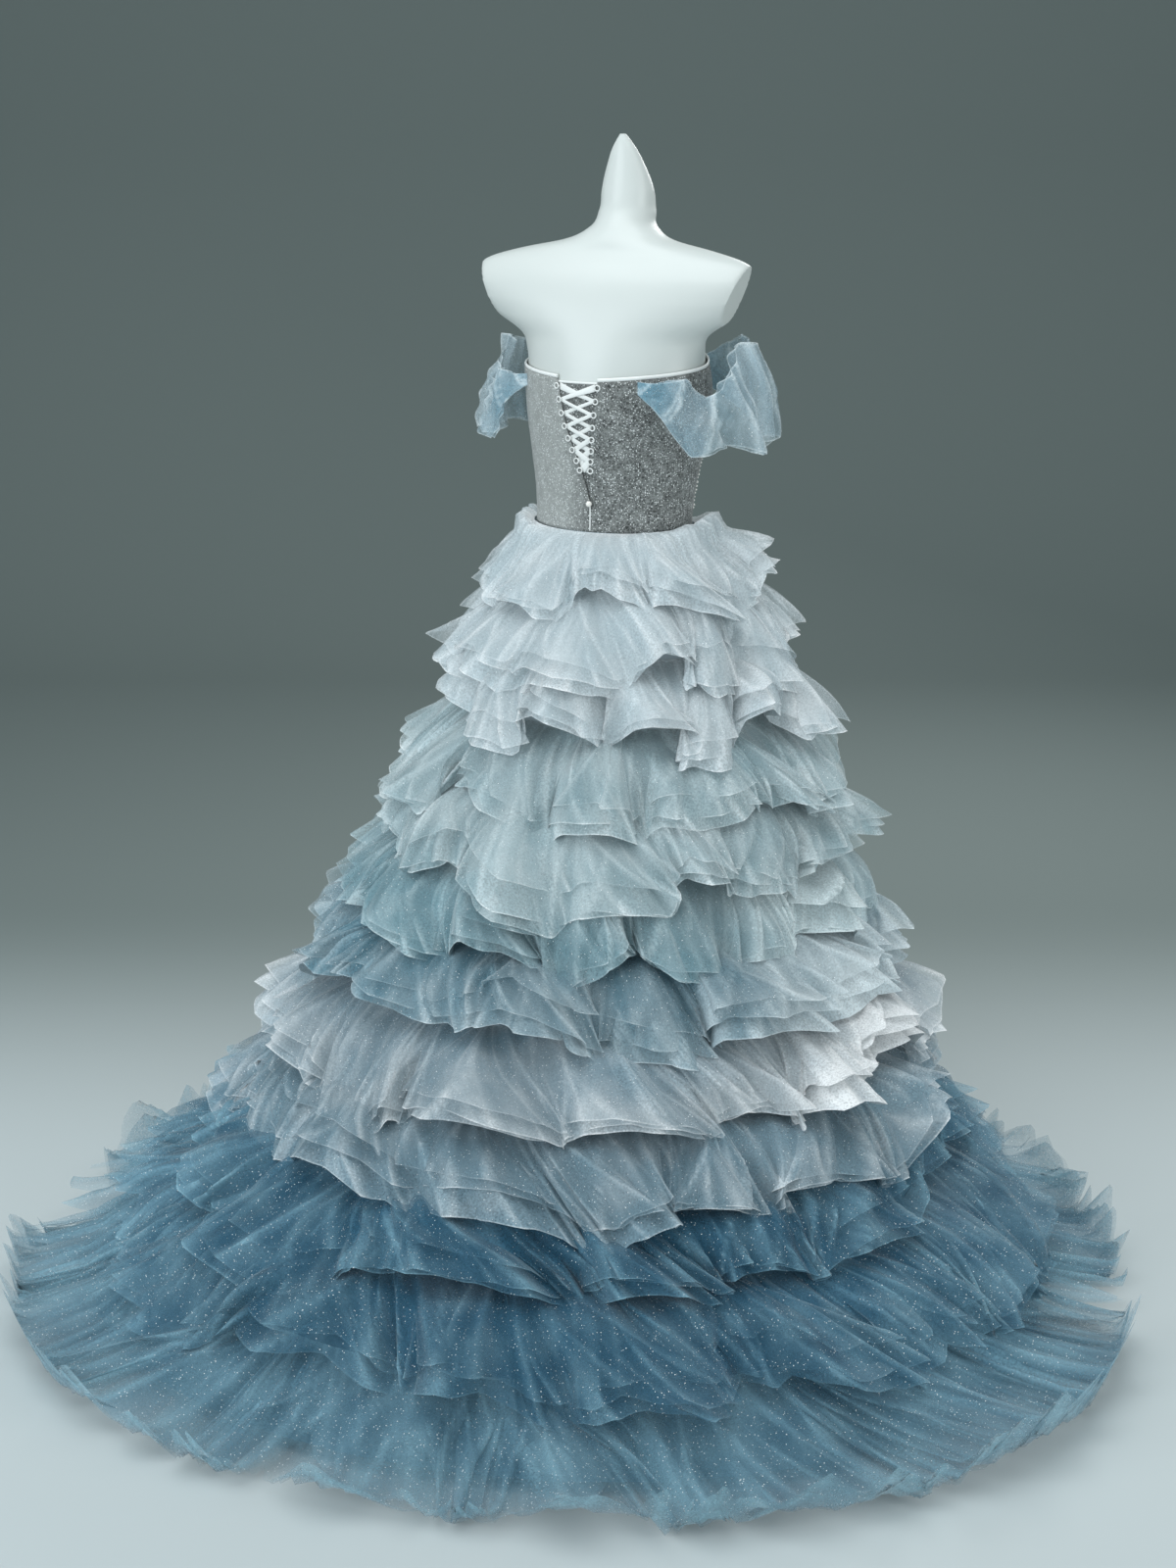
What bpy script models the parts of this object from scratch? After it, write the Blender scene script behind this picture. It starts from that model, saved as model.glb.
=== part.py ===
"""Tiered tulle gown on a limbless dress form.

Metres, +Z up, the gown's front towards -Y and its train towards +Y, so the wearer's left is +X.
Every horizontal section is an offset ellipse, and every piece of cloth is a wall between two such surfaces.
"""
from collections import namedtuple

import bmesh
import bpy
import numpy as np

# Form sections, lowest first. A section is an ellipse: x is its centre's shift to the side, y its centre's
# shift to the back, w its half width and l its half depth.
Section = namedtuple("Section", "z x y w l")
FORM_SECTIONS = [
    Section(0.800, 0.000, 0.000, 0.158, 0.112),
    Section(0.870, 0.000, 0.002, 0.164, 0.117),
    Section(0.960, 0.000, 0.002, 0.146, 0.106),
    Section(1.060, 0.000, 0.000, 0.119, 0.086),
    Section(1.110, 0.000, -0.004, 0.121, 0.089),
    Section(1.170, 0.000, -0.011, 0.130, 0.099),
    Section(1.230, 0.000, -0.018, 0.139, 0.112),
    Section(1.280, 0.000, -0.014, 0.141, 0.108),
    Section(1.320, 0.000, -0.004, 0.140, 0.095),
    Section(1.345, 0.000, 0.001, 0.147, 0.086),
    Section(1.375, 0.000, 0.005, 0.192, 0.076),
    Section(1.400, 0.000, 0.007, 0.219, 0.068),
    Section(1.435, 0.000, 0.005, 0.227, 0.056),
    Section(1.457, 0.000, 0.000, 0.200, 0.046),
    Section(1.470, 0.000, -0.006, 0.150, 0.044),
    Section(1.482, -0.002, -0.013, 0.090, 0.046),
    Section(1.500, -0.004, -0.024, 0.053, 0.047),
    Section(1.525, -0.006, -0.034, 0.0425, 0.044),
    Section(1.555, -0.007, -0.032, 0.0395, 0.036),
    Section(1.590, -0.008, -0.022, 0.0290, 0.022),
    Section(1.618, -0.008, -0.014, 0.0160, 0.011),
    Section(1.634, -0.008, -0.010, 0.0045, 0.004),
]
FORM_TORSO_ROWS = 13
FORM_SHOULDER_ROWS = 8
FORM_NECK_ROWS = 7
FORM_COLUMNS = 28
SHOULDER_FROM = 1.335
NECK_FROM = 1.476
STUB_CAP = 0.2085            # half span between the flat ends of the shoulder stubs, at STUB_CAP_Z
STUB_CAP_Z = 1.435
STUB_CAP_LEAN = 0.45         # how far the cut ends lean in, per metre down

POLE_RADIUS = 0.014
PLATE_RADIUS = 0.170
PLATE_THICKNESS = 0.008

SEAM = 0.0003                # gap between neighbouring pieces
CLOTH = 0.0018               # bodice wall
MODESTY_OFF = 0.0013         # modesty panel's inner face, off the form
MODESTY_WALL = 0.0010
BODICE_OFF = 0.0036          # bodice's inner face, off the form

WAIST_Z = 1.060
# Height of the bodice's top edge round the body: angle in degrees from the front centre.
TopEdge = namedtuple("TopEdge", "angle z")
TOP_EDGE = [TopEdge(0, 1.306), TopEdge(24, 1.332), TopEdge(55, 1.314), TopEdge(90, 1.300),
            TopEdge(140, 1.290), TopEdge(180, 1.283)]
FRONT_SEAM = 38.0            # panel seams, degrees from the front centre
SIDE_SEAM = 96.0
BODICE_ROWS = 8
BACK_RIGHT_COLUMNS, SIDE_COLUMNS, FRONT_COLUMNS, BACK_LEFT_COLUMNS = 10, 8, 10, 9
PANEL_TURNS = 4              # rounds in which a panel's slanting edges and its top edge's height settle
# Edges of the lacing gap: x on the wearer's left and on the right, at height z.
LaceGap = namedtuple("LaceGap", "z left right")
LACE_GAP = [
    LaceGap(1.060, SEAM / 2, -SEAM / 2),
    LaceGap(1.105, 0.0015, -0.0005),
    LaceGap(1.150, 0.0140, 0.0000),
    LaceGap(1.200, 0.0330, -0.0040),
    LaceGap(1.292, 0.0550, -0.0160),
]
MODESTY_FROM, MODESTY_TO = 1.100, 1.282
MODESTY_LAP = 0.012          # how far the modesty panel runs behind each back panel
MODESTY_ROWS, MODESTY_COLUMNS = 8, 9
BINDING_HEIGHT = 0.0055
BINDING_PROUD = 0.0006

LACE_WIDTH = 0.0105
LACE_WALL = 0.0008
LACE_LEVELS = [1.276, 1.256, 1.236, 1.217, 1.199, 1.182, 1.166, 1.152]
LACE_UNDER_OFF = 0.0027
LACE_OVER_OFF = 0.0041
LACE_STEPS = 6               # stretches that one run of tape bends round the back in
LACE_CLEAR = 0.0022          # between the tape and the edges of the lacing gap
LACE_MITRE = 0.75            # the sharpest turn's mitre is no longer than the half width divided by this
BUTTON_RADIUS = 0.0045
BUTTON_Z = 1.103

# Sleeve drapes. Each starts and ends against the bodice and swings out round the arm's place. back is where
# it is gathered on behind, in degrees from the front centre, reach how far it swings out, and slip how much
# lower its top edge has slid. The left one starts further round the side and lies closer to the body.
Sleeve = namedtuple("Sleeve", "name side back reach slip")
SLEEVES = [Sleeve("sleeve_left", 1, 122, 0.086, 0.006), Sleeve("sleeve_right", -1, 150, 0.098, 0.0)]
SLEEVE_FRONT = 42.0
SLEEVE_OFF = 0.0058
SLEEVE_WALL = 0.0012
SLEEVE_ROWS, SLEEVE_COLUMNS = 5, 21
SLEEVE_SWING = 0.75          # power of the sine by which a sleeve leaves the bodice
SLEEVE_TUCK = 0.38           # how much nearer its top edge lies than its lower edge, in its reach
SLEEVE_WAVES = 5
SLEEVE_WAVE = 0.007
SLEEVE_SLANT = 3.0           # slant of its folds, in radians over its height
SLEEVE_LEVEL = 1.250         # the body section that a sleeve is drawn round, away from its two gathers
SLEEVE_HELD_TO = 1.305       # highest body section that its gathers follow
# Top and bottom edge of a sleeve along its length, t from the back gather (0) to the front gather (1).
SleeveEdge = namedtuple("SleeveEdge", "t low high")
SLEEVE_EDGES = [
    SleeveEdge(0.00, 1.268, 1.286),
    SleeveEdge(0.06, 1.250, 1.287),
    SleeveEdge(0.12, 1.222, 1.288),
    SleeveEdge(0.20, 1.186, 1.290),
    SleeveEdge(0.29, 1.192, 1.268),
    SleeveEdge(0.38, 1.190, 1.296),
    SleeveEdge(0.50, 1.186, 1.334),
    SleeveEdge(0.75, 1.196, 1.342),
    SleeveEdge(0.90, 1.236, 1.328),
    SleeveEdge(1.00, 1.268, 1.305),
]

# Guide surface of the skirt: each section's shift to the side, its reach to the front and back from the
# form's axis, its half width, and egg, how far its widest place lies behind the middle. turn is how many
# degrees the section is swept round the axis: the train is arranged towards the wearer's right.
SkirtRow = namedtuple("SkirtRow", "z x front back w egg turn")
SKIRT_ROWS = [
    SkirtRow(1.0597, 0.000, 0.0914, 0.0914, 0.1244, 0.00, 0),
    SkirtRow(0.930, -0.018, 0.135, 0.150, 0.180, 0.00, 0),
    SkirtRow(0.800, -0.022, 0.180, 0.230, 0.226, 0.00, 0),
    SkirtRow(0.660, -0.020, 0.222, 0.320, 0.282, 0.00, 0),
    SkirtRow(0.500, -0.012, 0.272, 0.425, 0.345, 0.03, 3),
    SkirtRow(0.320, -0.006, 0.325, 0.565, 0.420, 0.08, 7),
    SkirtRow(0.160, 0.000, 0.370, 0.740, 0.525, 0.14, 11),
    SkirtRow(0.020, 0.006, 0.440, 0.975, 0.700, 0.22, 14),
    SkirtRow(0.000, 0.006, 0.510, 1.060, 0.800, 0.24, 15),
]
EGG_WIDENS = 0.45            # an egg is wider than its ellipse by this times its egg value squared
SKIRT_WALL = 0.0016
SKIRT_COLUMNS = 56

# Tulle tiers. top is the height of the seam on the foundation and low that of the foundation behind the hem;
# flare is how far the hem stands off it, wave the height of its gathers, waves their number and turn their
# phase in degrees.
Tier = namedtuple("Tier", "top low flare wave waves turn")
TIERS = [
    Tier(1.052, 0.950, 0.044, 0.016, 12, 10),
    Tier(0.984, 0.852, 0.052, 0.020, 13, 41),
    Tier(0.887, 0.760, 0.054, 0.022, 14, 77),
    Tier(0.795, 0.665, 0.055, 0.023, 14, 14),
    Tier(0.700, 0.572, 0.056, 0.024, 15, 53),
    Tier(0.607, 0.480, 0.056, 0.024, 15, 96),
    Tier(0.515, 0.385, 0.056, 0.024, 16, 25),
    Tier(0.418, 0.285, 0.056, 0.024, 16, 62),
    Tier(0.318, 0.205, 0.052, 0.023, 17, 110),
    Tier(0.236, 0.130, 0.048, 0.022, 18, 33),
    Tier(0.158, 0.062, 0.042, 0.020, 19, 81),
    Tier(0.088, 0.000, 0.020, 0.016, 20, 5),
]
TIER_WALL = 0.0016
TIER_SEAM = 0.0012           # off the foundation's outer face, which its flat facets need
TIER_ROWS = (0.0, 0.52, 1.0)
WAVE_COLUMNS = (0.0, 0.27, 0.50, 0.73)   # places within one gather: ridge, flank, trough, flank
WAVE_SWING, WAVE_LIFT = 0.8, 0.2         # a gather's swing about its middle and that middle's lift, in waves
WAVE_GROWTH = 1.2            # power by which gathers grow from the seam to the hem
UNEVEN = 0.25                # how much gathers differ in size
DRIFT = 0.30                 # how far gathers drift from an even spacing, in gathers
HEM_UNEVEN = 0.04
FLOOR_CLEAR = 0.0005

# Linear red, green and blue of each tier, from the waist down.
TULLE_COLOURS = [
    (0.52, 0.62, 0.66), (0.50, 0.61, 0.65), (0.48, 0.59, 0.64), (0.43, 0.56, 0.61),
    (0.38, 0.53, 0.58), (0.30, 0.45, 0.53), (0.18, 0.34, 0.46), (0.44, 0.52, 0.56),
    (0.40, 0.49, 0.54), (0.11, 0.25, 0.36), (0.08, 0.21, 0.32), (0.12, 0.27, 0.38),
]


def smooth_table(rows, name, z):
    """One column of a table at heights z: cubic pieces whose slopes are the mean of the neighbouring ones."""
    heights = np.array([row.z for row in rows])
    values = np.array([getattr(row, name) for row in rows])
    slopes = np.gradient(values, heights)
    z = np.clip(np.asarray(z, dtype=float), heights[0], heights[-1])
    i = np.clip(np.searchsorted(heights, z, side="right") - 1, 0, len(heights) - 2)
    step = heights[i + 1] - heights[i]
    t = (z - heights[i]) / step
    start = (2 * t ** 3 - 3 * t ** 2 + 1) * values[i] + (t ** 3 - 2 * t ** 2 + t) * step * slopes[i]
    return start + (3 * t ** 2 - 2 * t ** 3) * values[i + 1] + (t ** 3 - t ** 2) * step * slopes[i + 1]


def body_point(angle, z, off=0.0):
    """Point of the form at an angle from the front centre (towards +X) and a height, pushed out by off."""
    w = smooth_table(FORM_SECTIONS, "w", z) + off
    depth = smooth_table(FORM_SECTIONS, "l", z) + off
    x = smooth_table(FORM_SECTIONS, "x", z) + w * np.sin(angle)
    y = smooth_table(FORM_SECTIONS, "y", z) - depth * np.cos(angle)
    return np.stack(np.broadcast_arrays(x, y, z), axis=-1)


def back_angle(x, z, off=0.0):
    """Angle of the point on the form's back that lies x to the side."""
    w = smooth_table(FORM_SECTIONS, "w", z) + off
    return np.pi - np.arcsin(np.clip(x / w, -1, 1))


def top_edge(angle):
    """Height of the bodice's top edge; the same on both sides of the body."""
    folded = np.degrees(np.abs((angle + np.pi) % (2 * np.pi) - np.pi))
    return np.interp(folded, [row.angle for row in TOP_EDGE], [row.z for row in TOP_EDGE])


def skirt_point(angle, z):
    """Point of the skirt's guide surface at an angle from the front centre and a height."""
    heights = [row.z for row in SKIRT_ROWS][::-1]
    x, front, back, w, egg, turn = (np.interp(z, heights, [getattr(row, name) for row in SKIRT_ROWS][::-1])
                                    for name in SkirtRow._fields[1:])
    y = (back - front) / 2 - (back + front) / 2 * np.cos(angle)
    x = x + w * np.sin(angle) * (1 - egg * np.cos(angle)) / (1 + EGG_WIDENS * egg ** 2)
    c, s = np.cos(np.radians(turn)), np.sin(np.radians(turn))
    return np.stack(np.broadcast_arrays(x * c - y * s, x * s + y * c, z), axis=-1)


def skirt_normal(angle, z):
    """Unit direction off the guide surface, from its own slopes round the body and down the skirt."""
    turn, drop = 0.02, 0.03
    round_it = skirt_point(angle + turn, z) - skirt_point(angle - turn, z)
    lower = np.maximum(z - drop, SKIRT_ROWS[-1].z)
    down_it = skirt_point(angle, lower) - skirt_point(angle, np.minimum(lower + 2 * drop, SKIRT_ROWS[0].z))
    normal = np.cross(down_it, round_it)
    return normal / np.linalg.norm(normal, axis=-1, keepdims=True)


def material(name, colour, roughness, metallic=0.0, alpha=1.0):
    """Principled material of one piece."""
    made = bpy.data.materials.new(name)
    made.use_nodes = True
    shader = made.node_tree.nodes["Principled BSDF"]
    shader.inputs["Base Color"].default_value = (*colour, 1.0)
    shader.inputs["Roughness"].default_value = roughness
    shader.inputs["Metallic"].default_value = metallic
    shader.inputs["Alpha"].default_value = alpha
    return made


def add_object(name, points, faces, finish):
    """Adds one closed body with its faces turned outwards."""
    mesh = bpy.data.meshes.new(name)
    mesh.from_pydata([tuple(p) for p in points], [], faces)
    shape = bmesh.new()
    shape.from_mesh(mesh)
    bmesh.ops.recalc_face_normals(shape, faces=shape.faces)
    shape.to_mesh(mesh)
    shape.free()
    mesh.shade_smooth()
    mesh.set_sharp_from_angle(angle=np.radians(40))
    mesh.materials.append(finish)
    made = bpy.data.objects.new(name, mesh)
    bpy.context.scene.collection.objects.link(made)
    return made


def two_triangles(a, b, c, d):
    """A quad of point numbers as two flat faces, so that every later step reads the same shape."""
    return [(a, b, c), (a, c, d)]


def grid_faces(rows, columns, start, wraps):
    """Triangles of a grid of points, row by row, whose last column may join the first."""
    faces = []
    for r in range(rows - 1):
        for c in range(columns if wraps else columns - 1):
            here, beside = start + r * columns + c, start + r * columns + (c + 1) % columns
            faces += two_triangles(here, beside, beside + columns, here + columns)
    return faces


def wall(name, outer, inner, wraps, finish):
    """Cloth between two grids of points of the same size, closed along its edges."""
    rows, columns = outer.shape[:2]
    count = rows * columns
    faces = grid_faces(rows, columns, 0, wraps)
    faces += [face[::-1] for face in grid_faces(rows, columns, count, wraps)]
    for row in (0, rows - 1):
        for c in range(columns if wraps else columns - 1):
            a, b = row * columns + c, row * columns + (c + 1) % columns
            faces += two_triangles(a, b, b + count, a + count)
    if not wraps:
        for column in (0, columns - 1):
            for r in range(rows - 1):
                a, b = r * columns + column, (r + 1) * columns + column
                faces += two_triangles(a, b, b + count, a + count)
    return add_object(name, np.concatenate([outer.reshape(-1, 3), inner.reshape(-1, 3)]), faces, finish)


def loft(name, rings, finish):
    """Solid body through closed rings of points, with flat ends."""
    rows, columns = rings.shape[:2]
    faces = grid_faces(rows, columns, 0, True)
    faces.append(tuple(range(columns)))
    faces.append(tuple(range((rows - 1) * columns, rows * columns)))
    return add_object(name, rings.reshape(-1, 3), faces, finish)


def make_form():
    """Torso with shoulder stubs and an obliquely cut neck, its pole and its base plate."""
    white = material("form_gloss_white", (0.80, 0.84, 0.82), 0.35)
    steel = material("form_steel", (0.62, 0.64, 0.65), 0.35, metallic=1.0)
    z = np.concatenate([np.linspace(FORM_SECTIONS[0].z, SHOULDER_FROM, FORM_TORSO_ROWS, endpoint=False),
                        np.linspace(SHOULDER_FROM, NECK_FROM, FORM_SHOULDER_ROWS, endpoint=False),
                        np.linspace(NECK_FROM, FORM_SECTIONS[-1].z, FORM_NECK_ROWS)])[:, None]
    angle = np.linspace(0, 2 * np.pi, FORM_COLUMNS, endpoint=False)[None, :]
    rings = body_point(angle, z)
    cap = STUB_CAP + STUB_CAP_LEAN * (rings[..., 2] - STUB_CAP_Z)
    in_stubs = rings[..., 2] > SHOULDER_FROM
    rings[..., 0] = np.where(in_stubs, np.clip(rings[..., 0], -cap, cap), rings[..., 0])
    loft("form_torso", rings, white)
    pole_low, pole_high = PLATE_THICKNESS + SEAM, FORM_SECTIONS[0].z - SEAM
    bpy.ops.mesh.primitive_cylinder_add(vertices=20, radius=POLE_RADIUS, depth=pole_high - pole_low,
                                        location=(0, 0, (pole_high + pole_low) / 2))
    finish_primitive("form_pole", steel)
    bpy.ops.mesh.primitive_cylinder_add(vertices=48, radius=PLATE_RADIUS, depth=PLATE_THICKNESS,
                                        location=(0, 0, PLATE_THICKNESS / 2))
    finish_primitive("form_plate", steel)


def finish_primitive(name, finish):
    """Names the primitive that was just added and gives it its material."""
    made = bpy.context.active_object
    made.name = name
    made.data.materials.append(finish)
    return made


def lacing_edge(z, side):
    """x of one edge of the lacing gap."""
    return smooth_table(LACE_GAP, side, z)


def make_panel(name, edge_a, edge_b, columns, finish):
    """Bodice panel between two edges, functions from heights to angles. Gives back its top edge's angles."""
    across = np.linspace(0, 1, columns)[None, :]
    up = np.linspace(0, 1, BODICE_ROWS)[:, None]
    z = np.full((BODICE_ROWS, columns), WAIST_Z)
    for _ in range(PANEL_TURNS):
        angle = edge_a(z) * (1 - across) + edge_b(z) * across
        z = WAIST_Z + (top_edge(angle) - WAIST_Z) * up
    wall(name, body_point(angle, z, BODICE_OFF + CLOTH), body_point(angle, z, BODICE_OFF), False, finish)
    return angle[-1]


def seam_line(degrees, side):
    """Edge along a straight panel seam, half a seam gap short of it on the side given."""
    return lambda z: np.radians(degrees) + side * SEAM / 2 / smooth_table(FORM_SECTIONS, "w", z)


def make_bodice():
    """Five panels, the binding along their top edge, the modesty panel, the lacing and its button."""
    lace_cloth = material("glitter_lace", (0.28, 0.29, 0.29), 0.55)
    satin = material("white_satin", (0.72, 0.75, 0.75), 0.4)
    pearl = material("pearl", (0.85, 0.85, 0.83), 0.2)

    def left_back(z):
        return back_angle(lacing_edge(z, "left"), z, BODICE_OFF + CLOTH)

    def right_back(z):
        return back_angle(lacing_edge(z, "right"), z, BODICE_OFF + CLOTH)

    right_side, right_front = 360.0 - SIDE_SEAM, 360.0 - FRONT_SEAM
    panels = [
        ("bodice_back_right", right_back, seam_line(right_side, -1), BACK_RIGHT_COLUMNS, -2 * np.pi),
        ("bodice_side_right", seam_line(right_side, 1), seam_line(right_front, -1), SIDE_COLUMNS, -2 * np.pi),
        ("bodice_front", seam_line(-FRONT_SEAM, 1), seam_line(FRONT_SEAM, -1), FRONT_COLUMNS, 0),
        ("bodice_side_left", seam_line(FRONT_SEAM, 1), seam_line(SIDE_SEAM, -1), SIDE_COLUMNS, 0),
        ("bodice_back_left", seam_line(SIDE_SEAM, 1), left_back, BACK_LEFT_COLUMNS, 0),
    ]
    tops = [make_panel(name, edge_a, edge_b, columns, lace_cloth) + whole_turn
            for name, edge_a, edge_b, columns, whole_turn in panels]
    angle = np.concatenate([tops[0]] + [top[1:] for top in tops[1:]])[None, :]
    z = np.array([SEAM, BINDING_HEIGHT])[:, None] + top_edge(angle)
    wall("bodice_binding", body_point(angle, z, BODICE_OFF + CLOTH + BINDING_PROUD),
         body_point(angle, z, BODICE_OFF - BINDING_PROUD), False, satin)

    z = np.linspace(MODESTY_FROM, MODESTY_TO, MODESTY_ROWS)[:, None]
    across = np.linspace(0, 1, MODESTY_COLUMNS)[None, :]
    x = (lacing_edge(z, "left") + MODESTY_LAP) * (1 - across)
    x = x + (lacing_edge(z, "right") - MODESTY_LAP) * across
    angle = back_angle(x, z)
    wall("modesty_panel", body_point(angle, z, MODESTY_OFF + MODESTY_WALL), body_point(angle, z, MODESTY_OFF),
         False, lace_cloth)

    make_lace("lace_under", LACE_UNDER_OFF, 0, satin)
    make_lace("lace_over", LACE_OVER_OFF, 1, satin)
    angle = back_angle(0.0, BUTTON_Z)
    bpy.ops.mesh.primitive_uv_sphere_add(segments=12, ring_count=6, radius=BUTTON_RADIUS)
    button = finish_primitive("pearl_button", pearl)
    button.location = body_point(angle, BUTTON_Z, BODICE_OFF + CLOTH + BUTTON_RADIUS + 2 * SEAM)


def make_lace(name, off, first, finish):
    """Flat tape that zigzags down the gap. At each turn its edges meet on the line that halves the bend."""
    z = np.array(LACE_LEVELS)
    left = lacing_edge(z, "left") - LACE_CLEAR
    right = lacing_edge(z, "right") + LACE_CLEAR
    x = np.where((np.arange(len(z)) + first) % 2 == 0, left, right)
    line = np.stack([x, z], axis=1)
    run = np.diff(line, axis=0)
    run /= np.linalg.norm(run, axis=1, keepdims=True)
    side = np.stack([-run[:, 1], run[:, 0]], axis=1)
    before = np.vstack([side[:1], side])
    after = np.vstack([side, side[-1:]])
    mitre = before + after
    mitre /= np.linalg.norm(mitre, axis=1, keepdims=True)
    reach = LACE_WIDTH / 2 / np.maximum(np.sum(mitre * before, axis=1), LACE_MITRE)
    edges = np.stack([line + mitre * reach[:, None], line - mitre * reach[:, None]], axis=1)
    corner = np.arange(len(z))
    along = np.linspace(0, len(z) - 1, (len(z) - 1) * LACE_STEPS + 1)
    edge_x, edge_z = (np.stack([np.interp(along, corner, edges[:, k, axis]) for k in (0, 1)], axis=1)
                      for axis in (0, 1))
    edge_x = np.clip(edge_x, lacing_edge(edge_z, "right") + LACE_CLEAR,
                     lacing_edge(edge_z, "left") - LACE_CLEAR)
    angle = back_angle(edge_x, edge_z)
    wall(name, body_point(angle, edge_z, off + LACE_WALL), body_point(angle, edge_z, off), False, finish)


def make_sleeve(sleeve):
    """Tulle drape from the back gather, out round the arm's place, to the front gather."""
    t = np.linspace(0, 1, SLEEVE_COLUMNS)[None, :]
    angle = sleeve.side * np.radians(sleeve.back + (SLEEVE_FRONT - sleeve.back) * t)
    low, high = (np.interp(t, [e.t for e in SLEEVE_EDGES], [getattr(e, key) for e in SLEEVE_EDGES])
                 for key in ("low", "high"))
    high = high - sleeve.slip * np.sin(np.pi * t)
    up = np.linspace(0, 1, SLEEVE_ROWS)[:, None]
    z = low + (high - low) * up
    swing = np.sin(np.pi * t) ** SLEEVE_SWING
    puff = 1 - SLEEVE_TUCK * up ** 2
    fold = SLEEVE_WAVE * np.sin(np.pi * t) * np.sin(2 * np.pi * SLEEVE_WAVES * t + SLEEVE_SLANT * up)
    off = SLEEVE_OFF + sleeve.reach * swing * puff + fold * swing
    held_z = SLEEVE_LEVEL + (np.minimum(z, SLEEVE_HELD_TO) - SLEEVE_LEVEL) * (1 - swing)
    outer, inner = (body_point(angle, held_z, off + extra) for extra in (SLEEVE_WALL, 0.0))
    outer[..., 2] = z
    inner[..., 2] = z
    wall(sleeve.name, outer, inner, False,
         material(sleeve.name + "_tulle", (0.23, 0.35, 0.44), 0.6, alpha=0.6))


def make_skirt_base():
    """Foundation skirt: the guide surface itself, down to its hem just above the floor."""
    z = np.array([row.z for row in SKIRT_ROWS[:-1]])[:, None]
    angle = np.linspace(0, 2 * np.pi, SKIRT_COLUMNS, endpoint=False)[None, :]
    outer = skirt_point(angle, z)
    sideways = skirt_normal(angle, z) * SKIRT_WALL
    inner = outer - sideways
    inner[..., 2] = np.maximum(inner[..., 2], FLOOR_CLEAR)
    inner[0, :, 2] = outer[0, :, 2]
    wall("skirt_base", outer, inner, True, material("foundation_tulle", (0.30, 0.42, 0.50), 0.7))


def tier_angles(tier, down):
    """Columns of a tier: the places within each gather, even at the seam and drifting towards the hem."""
    gather = np.arange(tier.waves)[:, None] + np.array(WAVE_COLUMNS)[None, :]
    even = (gather / tier.waves * 2 * np.pi).ravel()
    drift = DRIFT * 2 * np.pi / tier.waves * down
    turn = np.radians(tier.turn)
    return even, even + turn + drift * np.sin(2 * even + 3 * turn) + 0.5 * drift * np.sin(5 * even + turn)


def make_tier(index, tier):
    """Gathered net ring, sewn flat to the foundation at its top, waving and flaring more towards its hem."""
    down = np.array(TIER_ROWS)[:, None]
    phase, angle = tier_angles(tier, down)
    turn = np.radians(tier.turn)
    hem = 1 + HEM_UNEVEN * np.sin(3 * phase + 2 * turn) + HEM_UNEVEN * np.sin(tier.waves * phase)
    z = np.maximum(tier.top - (tier.top - tier.low) * down * hem, SKIRT_ROWS[-1].z)
    size = 1 + UNEVEN * np.sin(4 * phase + 5 * turn)
    wave = tier.wave * size * (WAVE_SWING * np.cos(tier.waves * phase) + WAVE_LIFT) * down ** WAVE_GROWTH
    off = TIER_SEAM + tier.flare * down + wave
    surface, normal = skirt_point(angle, z), skirt_normal(angle, z)
    inner = surface + normal * off[..., None]
    outer = surface + normal * (off + TIER_WALL)[..., None]
    inner[..., 2] = np.maximum(inner[..., 2], FLOOR_CLEAR)
    outer[..., 2] = np.maximum(outer[..., 2], FLOOR_CLEAR + TIER_WALL)
    name = f"tier_{index:02d}"
    wall(name, outer, inner, True, material(name + "_tulle", TULLE_COLOURS[index - 1], 0.7, alpha=0.7))


def centre_on_floor():
    """Moves everything so that the middle of the whole part's floor area is the origin."""
    bpy.context.view_layer.update()
    meshes = [o for o in bpy.context.scene.objects if o.type == "MESH"]
    points = np.concatenate([[tuple(o.matrix_world @ v.co) for v in o.data.vertices] for o in meshes])
    low, high = points.min(axis=0), points.max(axis=0)
    middle = (low + high) / 2
    for o in meshes:
        o.location.x -= middle[0]
        o.location.y -= middle[1]
    print("form axis at", [round(float(-c), 5) for c in middle[:2]], "size", (high - low).round(4).tolist())


def main():
    for old in list(bpy.data.objects):
        bpy.data.objects.remove(old, do_unlink=True)
    make_form()
    make_bodice()
    for sleeve in SLEEVES:
        make_sleeve(sleeve)
    make_skirt_base()
    for index, tier in enumerate(TIERS, start=1):
        make_tier(index, tier)
    centre_on_floor()


main()
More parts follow.
